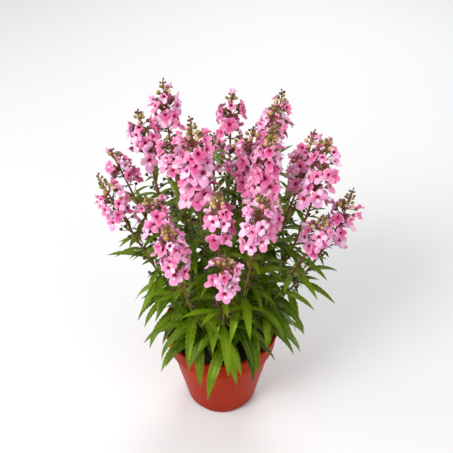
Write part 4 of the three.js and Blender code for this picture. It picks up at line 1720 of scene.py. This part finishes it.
@dataclass
class Pot:
    """The moulded pot: rolled lip, collar, tapered wall, and five slots in its foot."""

    sizes: PotSizes
    sides: int = 144
    corner_steps: int = 4
    rounding: float = 0.9
    rounding_share: float = 0.4
    sharp_from: float = 40
    slot_count: int = 5
    slot_size: Triple = (16, 20, 9.2)
    slot_radius: float = 40
    slot_turn: float = -126

    def rounded(self, outline: Array) -> Array:
        """Rounds each corner of an outline to a small arc.

        Args:
            outline: its corners, one a row.

        Returns:
            The points of the rounded outline.
        """
        found = [outline[:1]]
        for before, corner, after in zip(outline[:-2], outline[1:-1], outline[2:]):
            sides = (before - corner, after - corner)
            reach = min(self.rounding, *(self.rounding_share * np.linalg.norm(side) for side in sides))
            start, end = (corner + unit(side) * reach for side in sides)
            found.append(arc(start, corner, end, np.linspace(0, 1, self.corner_steps + 1)))
        return np.concatenate([*found, outline[-1:]])

    def shell(self) -> Object:
        """Returns the pot's body before its slots are cut.

        Returns:
            The new object.
        """
        outline = self.rounded(np.concatenate([self.sizes.outline(), self.sizes.lining()]))
        around = circle(self.sides)
        rings = outline[1:-1, 0, None, None] * around + outline[1:-1, 1, None, None] * UP
        draft = MeshDraft()
        draft.loft(rings, start=outline[0][1] * UP, end=outline[-1][1] * UP)
        return draft.piece("pot_shell", [])

    def cutter(self) -> Object:
        """Returns the blocks that cut the slots, as one object.

        Returns:
            The new object.
        """
        points, faces = [], []
        corners = [(x, y, z) for x in (-0.5, 0.5) for y in (-0.5, 0.5) for z in (-0.5, 0.5)]
        sides = [(0, 1, 3, 2), (4, 6, 7, 5), (0, 4, 5, 1), (2, 3, 7, 6), (0, 2, 6, 4), (1, 5, 7, 3)]
        for number in range(self.slot_count):
            turn = math.radians(self.slot_turn) + number / self.slot_count * 2 * math.pi
            spin = Matrix.Rotation(turn, 3, "Z")
            for corner in corners:
                place = Vector([share * size for share, size in zip(corner, self.slot_size)])
                points.append((spin @ (place + Vector((self.slot_radius, 0, 0)))) * MM)
            faces += [[len(corners) * number + corner for corner in side] for side in sides]
        mesh = bpy.data.meshes.new("slot_blocks")
        mesh.from_pydata(points, [], faces)
        return linked("slot_blocks", mesh)

    def build(self, finishes: Finishes) -> None:
        """Makes the pot and has it stand for its node.

        Args:
            finishes: all finishes.
        """
        shell, blocks = self.shell(), self.cutter()
        cut = shell.modifiers.new("slots", "BOOLEAN")
        cut.operation, cut.object, cut.solver = "DIFFERENCE", blocks, "EXACT"
        graph = bpy.context.evaluated_depsgraph_get()
        mesh = bpy.data.meshes.new_from_object(shell.evaluated_get(graph))
        for used in (shell, blocks):
            bpy.data.objects.remove(used)
        mesh.materials.clear()
        dress(mesh, [finishes.pot], self.sharp_from)
        settle(linked("pot_moulded", mesh), Slot.POT, "pot")


@dataclass
class Soil:
    """The peat in the pot: a lumpy top with crumbs and fibres, down to the pot's floor."""

    sizes: PotSizes
    around: int = 96
    rings: int = 30
    gap: float = 0.35
    lump: float = 1.6
    waves: tuple[Triple, ...] = ((17, 3.1, 0.55), (4.5, 7.7, 0.45), (1.9, 1.3, 0.25))
    tint: float = 0.45
    crumb_count: int = 320
    crumb_size: Span = (0.7, 1.5)
    crumb_rise: Span = (0.6, 1)
    crumb_stretch: Span = (0.9, 0.6)
    crumb_sink: float = 0.55
    fibre_count: int = 90
    fibre_points: int = 5
    fibre_length: Span = (3, 6)
    fibre_wander: float = 0.8
    fibre_radius: float = 0.22
    fibre_lift: float = 0.25
    fibre_tint: float = 0.9
    scatter_radius: float = 57
    edge_radius: float = 58
    seed: int = 71

    def __post_init__(self) -> None:
        """Starts the draft, the random numbers and the makers of crumbs and fibres."""
        self.draft = MeshDraft()
        self.random = SeededRandom(self.seed)
        self.crumb_maker = BudMaker(6, 0, ((0.5, 0.0), (1.0, 0.35), (0.85, 0.75)))
        self.fibre_maker = TubeMaker(4, 0)

    def top(self, place: Array) -> Array:
        """Returns the point of the soil's top at a level place."""
        lumps = [high * noise.noise(Vector((*place[:2] / wide, seed))) for wide, seed, high in self.waves]
        return np.array([*place[:2], self.sizes.soil_level + self.lump * sum(lumps)])

    def build(self, finishes: Finishes) -> None:
        """Makes the soil and has it stand for its node.

        Args:
            finishes: all finishes.
        """
        self.add_body()
        for _ in range(self.crumb_count):
            self.add_crumb()
        for _ in range(self.fibre_count):
            self.add_fibre()
        settle(self.draft.piece("soil_peat", [finishes.soil]), Slot.SOIL, "soil")

    def add_body(self) -> None:
        """Adds the soil's body, from the pot's floor to its lumpy top."""
        sizes = self.sizes
        around = circle(self.around)
        edge = sizes.collar_radius - sizes.collar_taper - sizes.wall - self.gap
        rings = [(radius - self.gap) * around + max(height, sizes.wall + self.gap) * UP
                 for radius, height in sizes.lining()[::-1] if 0 < radius and height < sizes.soil_level]
        for number in range(self.rings):
            rings.append([self.top(edge * (1 - number / self.rings) * way) for way in around])
        self.draft.loft(np.array(rings), (0, 0, self.tint), end=self.top(0 * UP))

    def spot(self) -> Array:
        """Returns a random place on the soil's top."""
        radius = self.scatter_radius * math.sqrt(self.random())
        return self.top(radius * level(2 * math.pi * self.random()))

    def add_crumb(self) -> None:
        """Adds one crumb of peat or bark."""
        random = self.random
        size = self.crumb_size[0] + self.crumb_size[1] * random() ** 2
        axis = unit(np.array([random.swing(), random.swing(), random.above(self.crumb_rise)]))
        base = self.spot() - self.crumb_sink * size * axis
        length = random.above(self.crumb_stretch) * size
        self.crumb_maker.build(self.draft, base, axis, size, length, 0.5, random())

    def add_fibre(self) -> None:
        """Adds one short root fibre lying on the soil."""
        start = self.spot()
        turn = 2 * math.pi * self.random()
        length = self.random.above(self.fibre_length)
        places = []
        for share in np.linspace(0, 1, self.fibre_points):
            step = start + level(turn + self.fibre_wander * share * self.random.swing()) * length * share
            if math.hypot(step[0], step[1]) > self.edge_radius:
                return
            places.append(self.top(step) + self.fibre_lift * UP)
        tint = self.fibre_tint * self.random()
        self.fibre_maker.build(self.draft, np.array(places), self.fibre_radius, tint)


@dataclass(frozen=True)
class Bract:
    """A small narrow leaf under a stalk: its length above the least, its width, its slopes."""

    length: Span
    width: float
    rise: float
    fall: float
    tint: Span

    def leaf(self, root: Array, turn: float, random: SeededRandom) -> Leaf:
        """Returns the leaf at a root."""
        length, slopes = random.above(self.length), (math.radians(self.rise), math.radians(self.fall))
        return Leaf(root, turn, length, self.width, *slopes, 1, random.tint(self.tint))


@dataclass
class Growth:
    """What leafy stems and flower spikes share: their shoot, stem, stalks and cups."""

    layout: PlantLayout
    shoot: Shoot
    slimness: float = 0.72
    ridge: float = 0.1
    stalk_points: int = 4
    cup_sink: float = 0.2
    seed: int = 0
    seed_step: int = 1

    def __post_init__(self) -> None:
        """Starts the draft, the random numbers and the makers."""
        self.draft = MeshDraft()
        self.random = SeededRandom(self.seed + self.seed_step * self.shoot.index)
        self.number = f"{self.shoot.index + 1:02d}"
        self.leaf_maker = LeafMaker(self.layout.leaf)
        self.calyx_maker = CalyxMaker()

    def add_stem(self, points: Array, radii: Array, tints: Array) -> None:
        """Adds a ridged stem along points, slimmed from the layout's radii."""
        TubeMaker().build(self.draft, points, radii * self.slimness, tints, self.ridge)

    def add_stalk(self, line: tuple[Array, Array, Array], radius: float, tint: float,
                  sides: int = 5) -> None:
        """Adds a thin stalk from a root past a bend to an end."""
        points = arc(*line, np.linspace(0, 1, self.stalk_points))
        TubeMaker(sides).build(self.draft, points, radius, tint)


@dataclass
class Foliage(Growth):
    """A leafy stem: its leaves, smaller ones between them and in their axils, and seed cases."""

    seed: int = 4100
    stem_steps: int = 26
    side_top: float = 0.97
    foot_depth: float = 8
    knot_swell: float = 0.16
    knot_reach: float = 3
    foot_red: float = 0.35
    side_red: float = 0.15
    least_red: float = 0.12
    top_red: float = 0.85
    green_from: float = 0.25
    red_from: float = 0.85
    # A leaf's tint at the foot and its rise with height; the rise is partly fresher growth, partly painted
    # light on the higher leaves.
    leaf_tint: Span = (0.3, 0.5)
    tint_spread: float = 0.38
    filler_rows: int = 2
    airy_rows: int = 1
    airy_from: float = 82
    filler_foot: float = 0.16
    filler_length: float = 0.85
    filler_spread: Span = (1, 0.2)
    # The same for the filler leaves: their rise with height is partly painted light too.
    filler_tint: Span = (0.4, 0.5)
    filler_tries: LeafTries = LeafTries((1, 0.8, 0.62), (0, 12), (0, 14, -14, 28, -28))
    tuft_turns: tuple[float, ...] = (-34, 30)
    tuft_turn_spread: float = 10
    tuft_length: Span = (10, 0.22)
    tuft_longest: float = 24
    tuft_spread: Span = (1, 0.25)
    tuft_rise: Span = (68, 8)
    tuft_fall: Span = (20, 20)
    tuft_tint: Span = (0.75, 0.25)
    tuft_tries: LeafTries = LeafTries((1, 0.7), (0,), (0, 16, -16))
    tuft_gap: float = 0.1
    toothed_from: float = 22
    case_reach: float = 72
    case_rows: int = 9
    case_start: float = 0.4
    case_foot: float = 0.2
    case_turn: Span = (45, 12)
    case_rise: Span = (32, 14)
    case_stalk: Span = (8.5, 3.5)
    case_stalk_radius: float = 0.38
    case_stalk_tint: float = 0.75
    case_bend: Span = (0.6, 0.4)
    case_ahead: float = 1.5
    case_bead: float = 0.5
    case_spent: float = 0.95
    case_radius: float = 1.2
    case_size: float = 2.9
    case_gap: float = 0.2
    case_bract: Bract = Bract((11, 12), 3.0, 30, -14, (0.45, 0.35))
    bract_gap: float = 0.05
    case_maker: BudMaker = field(default_factory=lambda: BudMaker(6, Part.CALYX))

    def redness(self, shares: Array) -> Array:
        """Returns how red the stem is at shares of its path.

        Args:
            shares: shares of the path.

        Returns:
            The redness at each, from 0 to 1.
        """
        low = self.foot_red * (1 - smooth(shares, 0.0, self.green_from))
        if not self.shoot.blooms:
            return self.side_red + low
        high = self.top_red * smooth(shares, self.green_from, self.red_from)
        return np.clip(self.least_red + low + high, 0, 1)

    def build(self, finishes: Finishes) -> None:
        """Makes the leafy stem and has it stand for its node.

        Args:
            finishes: all finishes.
        """
        self.add_leafy_stem()
        for leaf in self.shoot.leaves:
            leaf.tint = self.tint(self.leaf_tint, leaf.height)
            self.leaf_maker.build(self.draft, leaf)
        if self.shoot.blooms:
            self.add_fillers()
            self.add_tufts()
            self.add_seed_cases()
        piece = self.draft.piece(f"foliage_{self.number}", finishes.greens())
        settle(piece, Slot.LEAF, f"leafy_stem_{self.number}")

    def tint(self, span: Span, height: float) -> float:
        """Returns a leaf's tint by chance, the lighter the higher it stands: partly fresher growth, partly
        painted light.
        """
        return self.random.tint((span[0] + span[1] * height, self.tint_spread))

    def add_leafy_stem(self) -> None:
        """Adds the stem from below the soil's top to the foot of the bloom, thicker at leaves."""
        shoot = self.shoot
        shares = np.linspace(0, shoot.split_share if shoot.blooms else self.side_top, self.stem_steps)
        radii = shoot.radii(shares, self.layout.stem)
        for leaf in shoot.leaves:
            away = (shares - leaf.height * shoot.split_share) * shoot.length / self.knot_reach
            radii = np.maximum(radii, radii * (1 + self.knot_swell * np.exp(-away ** 2)))
        points = np.concatenate([[shoot.foot - self.foot_depth * UP], shoot.point(shares)])
        tints = self.redness(np.concatenate([[0], shares]))
        self.add_stem(points, np.concatenate([radii[:1], radii]), tints)

    def add_fillers(self) -> None:
        """Adds leaf pairs between those of the layout, fewer on shoots that lean far out."""
        shoot = self.shoot
        spread = math.hypot(shoot.tip[0], shoot.tip[1])
        rows = self.filler_rows if spread < self.airy_from else self.airy_rows
        for step in range(rows * shoot.pairs):
            pair = step // rows + (step % rows + 1) / (rows + 1)
            if not self.filler_foot < self.layout.height(shoot, pair) < 1:
                continue
            for side in range(2):
                leaf = self.layout.wished_leaf(shoot, pair, side, self.random)
                leaf.length *= self.filler_length * self.random.about(self.filler_spread)
                for placed in self.layout.try_leaf(shoot, leaf, Root.FILLERS + step, self.filler_tries):
                    placed.tint = self.tint(self.filler_tint, placed.height)
                    self.leaf_maker.build(self.draft, placed)

    def add_tufts(self) -> None:
        """Adds one or two small leaves in the axil of each leaf, where they find room."""
        random = self.random
        for number, leaf in enumerate(self.shoot.leaves):
            length = min(self.tuft_length[0] + self.tuft_length[1] * leaf.length, self.tuft_longest)
            for turn in self.tuft_turns:
                small = replace(
                    leaf, turn=leaf.turn + random.angle((turn, self.tuft_turn_spread)),
                    length=length * random.about(self.tuft_spread), rise=random.angle(self.tuft_rise),
                    fall=random.angle(self.tuft_fall), tint=random.tint(self.tuft_tint),
                )
                code, tries = Root.TUFTS + number, self.tuft_tries
                for placed in self.layout.try_leaf(self.shoot, small, code, tries, self.tuft_gap):
                    self.leaf_maker.build(self.draft, placed, plain=placed.length < self.toothed_from)

    def add_seed_cases(self) -> None:
        """Adds spent calyces on thin stalks below the bloom, with a narrow leaf under each."""
        shoot = self.shoot
        for step in range(self.case_rows):
            below = self.case_reach * (step + self.case_start) / self.case_rows
            share = shoot.split_share - below / shoot.length
            for side in range(2 if share > self.case_foot else 0):
                turn = shoot.pair_turn(step, side) + self.random.angle(self.case_turn)
                root = shoot.point(share)
                self.add_seed_case(root, turn)
                bract = self.case_bract.leaf(root, turn, self.random)
                if self.layout.field.claim(self.layout.leaf_beads(bract, shoot, Root.CASES), self.bract_gap):
                    self.leaf_maker.build(self.draft, bract, plain=True)

    def add_seed_case(self, root: Array, turn: float) -> None:
        """Adds one spent calyx on its stalk, if it finds room.

        Args:
            root: where its stalk begins.
            turn: the way it points.
        """
        random = self.random
        reach = random.above(self.case_stalk)
        rise = random.angle(self.case_rise)
        end = root + reach * rising(turn, rise)
        bend = root + self.case_bend[0] * reach * rising(turn, rise * self.case_bend[1])
        radius = self.case_radius
        places = np.array([bend, end, end + self.case_ahead * level(turn)])
        rows = beads(places, [self.case_bead, radius, radius], self.shoot.index,
                     [Root.CASES, Root.NONE, Root.NONE])
        if self.layout.field.claim(rows, self.case_gap):
            self.add_stalk((root, bend, end), self.case_stalk_radius, self.case_stalk_tint, sides=4)
            axis, tint = unit(end - bend), random()
            size, cup = self.case_size, end - self.cup_sink * axis
            self.case_maker.build(self.draft, end, axis, radius, size, 0.0, tint)
            self.calyx_maker.build(self.draft, cup, axis, size, self.case_spent, tint)


@dataclass
class Raceme(Growth):
    """A flower spike: a reddish axis with stalked flowers, swelling buds and a dark tip."""

    seed: int = 9200
    seed_step: int = 31
    axis_steps: int = 20
    axis_span: Span = (-0.004, 0.995)
    axis_tint: Span = (0.75, 0.25)
    young_from: float = 0.72
    young_fold: float = 0.6
    sizes: Span = (0.8, 1.2)
    size_spread: Span = (1, 0.1)
    longest_stalk: float = 1.28
    nod: Span = (0, 26)
    yaw: Span = (0, 24)
    roll: Span = (0, 16)
    full_from: float = 0.6
    full_rows: int = 3
    plain_rows: int = 2
    extra_size: float = 0.84
    extra_shrink: float = 0.25
    extra_rise: Span = (24, 22)
    extra_turn: Span = (0, 20)
    extra_turns: tuple[float, ...] = (0, 26, -26, 52, -52)
    extra_gap: float = -1.6
    stalk_radius: float = 0.48
    stalk_tint: float = 0.85
    stalk_bend: float = 0.62
    stalk_lift: float = 0.5
    neck_sink: float = 0.8
    cup_size: float = 3.4
    flower_bract: Bract = Bract((5, 2.5), 2.0, 18, -20, (0.4, 0.3))
    bract_turn: Span = (0, 8)
    spent_spacing: float = 5.0
    spent_rise: Span = (35, 20)
    spent_stalk: Span = (6, 3)
    spent_stalk_radius: float = 0.4
    spent_look: Span = (0.1, 0.5)
    bud_spacing: float = 2.7
    bud_least: int = 4
    bud_radius: float = 2.5
    bud_length: float = 5.4
    bud_turn: Span = (0, 14)
    bud_spread: Span = (1, 0.12)
    bud_least_size: float = 0.34
    bud_size_power: float = 0.6
    bud_start: float = 0.3
    bud_lift: float = 0.3
    bud_rises: Span = (34, 58)
    bud_rise_spread: float = 10
    bud_stalks: Span = (4.6, 2.07)
    bud_stalk_radius: float = 0.42
    bud_stalk_tint: float = 0.8
    bud_cup: float = 3.6
    bud_look: Span = (0.2, 0.4)
    ripe_power: float = 0.45
    ripe_spread: float = 0.16
    bud_maker: BudMaker = field(default_factory=BudMaker)

    def build(self, finishes: Finishes) -> None:
        """Makes the petals and the stalks of the spike; together they stand for its node.

        Args:
            finishes: all finishes.
        """
        shoot, petals = self.shoot, MeshDraft()
        maker = FlowerMaker(self.layout.flower)
        shares = np.linspace(shoot.split_share + self.axis_span[0], self.axis_span[1], self.axis_steps)
        tints = self.axis_tint[0] + self.axis_tint[1] * np.sin(np.linspace(0, 3, len(shares)))
        self.add_stem(shoot.point(shares), shoot.radii(shares, self.layout.stem), tints)
        for flower in [*shoot.flowers, *self.extra_flowers()]:
            flower = self.varied(flower)
            young_share = blend(shoot.bloom_share, shoot.bud_share, self.young_from)
            young = smooth(flower.share, young_share, shoot.bud_share)
            maker.build(petals, flower, self.random, self.young_fold * young)
            self.add_flower_stalk(flower)
        self.add_buds()
        self.add_spent()
        node = f"flower_spike_{self.number}"
        settle(petals.piece(f"petals_{self.number}", [finishes.petal]), Slot.FLOWER, node)
        settle(self.draft.piece(f"stalks_{self.number}", finishes.greens()), Slot.LEAF)

    def varied(self, flower: Flower) -> Flower:
        """Returns a flower a little larger or smaller, nodding, turned and rolled by chance.

        Args:
            flower: the flower as placed.

        Returns:
            The flower to be made.
        """
        random, fullness = self.random, self.shoot.fullness
        nod, yaw, roll = (random.angle(span) for span in (self.nod, self.yaw, self.roll))
        facing = unit(flower.facing + math.tan(nod) * flower.down + math.tan(yaw) * flower.right)
        right = unit(np.cross(facing, flower.down))
        down = np.cross(right, facing)
        right, down = (math.cos(roll) * right + math.sin(roll) * down,
                       math.cos(roll) * down - math.sin(roll) * right)
        size = flower.size * blend(*self.sizes, fullness) * random.about(self.size_spread)
        neck = flower.root + (flower.neck - flower.root) * blend(1, self.longest_stalk, fullness)
        middle = neck + self.layout.flower.tube_depth * facing
        return replace(flower, facing=facing, right=right, down=down, neck=neck, middle=middle, size=size)

    def extra_flowers(self) -> list[Flower]:
        """Returns smaller flowers that fill the spike between the pairs of the layout.

        Returns:
            The flowers.
        """
        shoot, random, found = self.shoot, self.random, []
        rows = self.full_rows if shoot.fullness > self.full_from else self.plain_rows
        for step in range(rows * shoot.flower_pairs):
            pair = (step + 1) / rows
            height = pair / shoot.flower_pairs
            share = blend(shoot.bloom_share, shoot.bud_share, height)
            size = self.layout.flower.radius * self.extra_size * (1 - self.extra_shrink * height)
            for side in range(2):
                rise = random.angle(self.extra_rise)
                turn = shoot.pair_turn(pair, side) + random.angle(self.extra_turn)
                found += self.layout.try_flower(shoot, share, turn, rise, size, Root.EXTRA_FLOWERS,
                                                self.extra_turns, self.extra_gap)
        return found

    def add_flower_stalk(self, flower: Flower) -> None:
        """Adds a flower's stalk, its calyx, and the small leaf under it.

        Args:
            flower: the flower as made.
        """
        end = flower.neck - self.neck_sink * flower.facing
        bend = flower.root + self.stalk_bend * (end - flower.root) + self.stalk_lift * UP
        self.add_stalk((flower.root, bend, end), self.stalk_radius, self.stalk_tint)
        spent, tint = self.spent_look[0], self.random()
        self.calyx_maker.build(self.draft, end, flower.facing, self.cup_size, spent, tint)
        turn = flower.turn + self.random.angle(self.bract_turn)
        bract = self.flower_bract.leaf(flower.root, turn, self.random)
        self.leaf_maker.build(self.draft, bract, plain=True)

    def add_spent(self) -> None:
        """Adds empty calyces among the flowers, where petals have dropped."""
        shoot, random = self.shoot, self.random
        steps = round((shoot.bud_share - shoot.bloom_share) * shoot.length / self.spent_spacing)
        for step in range(steps):
            root = shoot.point(blend(shoot.bloom_share, shoot.bud_share, (step + 0.5) / steps))
            axis = rising(2 * math.pi * random(), random.angle(self.spent_rise))
            end = root + random.above(self.spent_stalk) * axis
            self.add_stalk((root, (root + end) / 2, end), self.spent_stalk_radius, self.stalk_tint)
            spent, tint = random.above(self.spent_look), random()
            self.calyx_maker.build(self.draft, end, axis, self.cup_size, spent, tint)

    def add_buds(self) -> None:
        """Adds the buds above the bloom, large and cream below, small and dark at the tip."""
        shoot = self.shoot
        steps = max(self.bud_least, round((1 - shoot.bud_share) * shoot.length / self.bud_spacing))
        for step in range(steps):
            grown = (step + self.bud_start) / steps
            root = shoot.point(blend(shoot.bud_share, self.axis_span[1], grown))
            for side in range(2):
                turn = shoot.pair_turn(shoot.flower_pairs + step, side)
                self.add_bud(root, turn + self.random.angle(self.bud_turn), grown)

    def add_bud(self, root: Array, turn: float, grown: float) -> None:
        """Adds one bud on its stalk.

        Args:
            root: where its stalk begins.
            turn: the way it points.
            grown: how far up the spike's tip it is, from 0 to 1.
        """
        random = self.random
        size = blend(1, self.bud_least_size, grown ** self.bud_size_power) * random.about(self.bud_spread)
        rise = blend(*self.bud_rises, grown)
        axis = rising(turn, random.angle((rise, self.bud_rise_spread)))
        end = root + blend(*self.bud_stalks, grown) * axis
        self.add_stalk((root, (root + end) / 2, end), self.bud_stalk_radius * size, self.bud_stalk_tint)
        ripe, tint = random.tint((1 - grown ** self.ripe_power, self.ripe_spread)), random()
        self.bud_maker.build(self.draft, end + self.bud_lift * axis, axis, self.bud_radius * size,
                             self.bud_length * size, ripe, tint)
        spent, cup = random.above(self.bud_look), end - self.cup_sink * axis
        self.calyx_maker.build(self.draft, cup, axis, self.bud_cup * size, spent, tint)


@dataclass(frozen=True)
class Lamp:
    """A square soft light: its name, place, target, side and power in watts."""

    name: str
    place: Triple
    target: Triple
    size: float
    power: float


@dataclass
class Studio:
    """The camera at the photograph's viewing angle, a pale floor and soft lights."""

    image_px: float = 453
    focal_px: float = 714
    sensor_mm: float = 36
    camera_place: Triple = (5.9, -550, 716)
    camera_pitch: float = 39.9
    floor_size: float = 9000
    floor_drop: float = 0.05
    world_strength: float = 0.42
    lamps: tuple[Lamp, ...] = (
        Lamp("key_light", (-900, -900, 1500), (0, 0, 200), 650, 23),
        Lamp("side_light", (-1300, 0, 500), (0, 0, 120), 600, 5),
        Lamp("fill_light", (1100, -900, 900), (0, 0, 200), 1300, 8),
        Lamp("back_light", (300, 1300, 1300), (0, 0, 250), 900, 14),
    )

    def build(self) -> None:
        """Makes the camera, the floor, the lights and the world."""
        self.add_camera()
        self.add_floor()
        for lamp in self.lamps:
            self.add_lamp(lamp)
        world = bpy.data.worlds.new("soft_world")
        world.use_nodes = True
        inputs = world.node_tree.nodes["Background"].inputs
        inputs["Color"].default_value = (1, 1, 1, 1)
        inputs["Strength"].default_value = self.world_strength
        bpy.context.scene.world = world
        bpy.context.scene.view_settings.view_transform = "Standard"

    def add_camera(self) -> None:
        """Adds the camera and makes it the scene's."""
        data = bpy.data.cameras.new("camera")
        data.sensor_width = self.sensor_mm
        data.lens = self.focal_px / self.image_px * self.sensor_mm
        camera = linked("camera", data)
        camera.location = Vector(self.camera_place) * MM
        camera.rotation_euler = (math.radians(90 - self.camera_pitch), 0, 0)
        bpy.context.scene.camera = camera

    def add_floor(self) -> None:
        """Adds the floor just under the pot."""
        half = self.floor_size * MM / 2
        mesh = bpy.data.meshes.new("floor")
        mesh.from_pydata([(-half, -half, 0), (half, -half, 0), (half, half, 0), (-half, half, 0)], [],
                         [(0, 1, 2, 3)])
        mesh.materials.append(FloorFinish().material())
        floor = linked("floor", mesh)
        floor.location.z = -self.floor_drop * MM
        floor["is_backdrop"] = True

    def add_lamp(self, lamp: Lamp) -> None:
        """Adds a square soft light.

        Args:
            lamp: the light.
        """
        data = bpy.data.lights.new(lamp.name, "AREA")
        data.shape, data.size, data.energy = "SQUARE", lamp.size * MM, lamp.power
        made = linked(lamp.name, data)
        made.location = Vector(lamp.place) * MM
        way = Vector(lamp.target) - Vector(lamp.place)
        made.rotation_euler = way.to_track_quat("-Z", "Y").to_euler()


def corners(box: tuple[Vector, Vector]) -> list[list[float]]:
    """Returns a box's two corners as plain lists."""
    return [list(box[0]), list(box[1])]


def main() -> None:
    """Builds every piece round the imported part, in order."""
    logging.basicConfig(level=logging.INFO, format="%(message)s")
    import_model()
    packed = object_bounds()
    Studio().build()
    layout = PlantLayout()
    leaves = sum(len(shoot.leaves) for shoot in layout.shoots)
    flowers = sum(len(shoot.flowers) for shoot in layout.shoots)
    log.info("layout: %d leaves, %d flowers", leaves, flowers)
    finishes = Finishes()
    Pot(layout.pot).build(finishes)
    Soil(layout.pot).build(finishes)
    for shoot in layout.shoots:
        if shoot.blooms:
            Raceme(layout, shoot).build(finishes)
    for shoot in layout.shoots:
        Foliage(layout, shoot).build(finishes)
    {"cad": corners(packed), "visual": corners(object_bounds())}


if __name__ == "__main__":
    main()
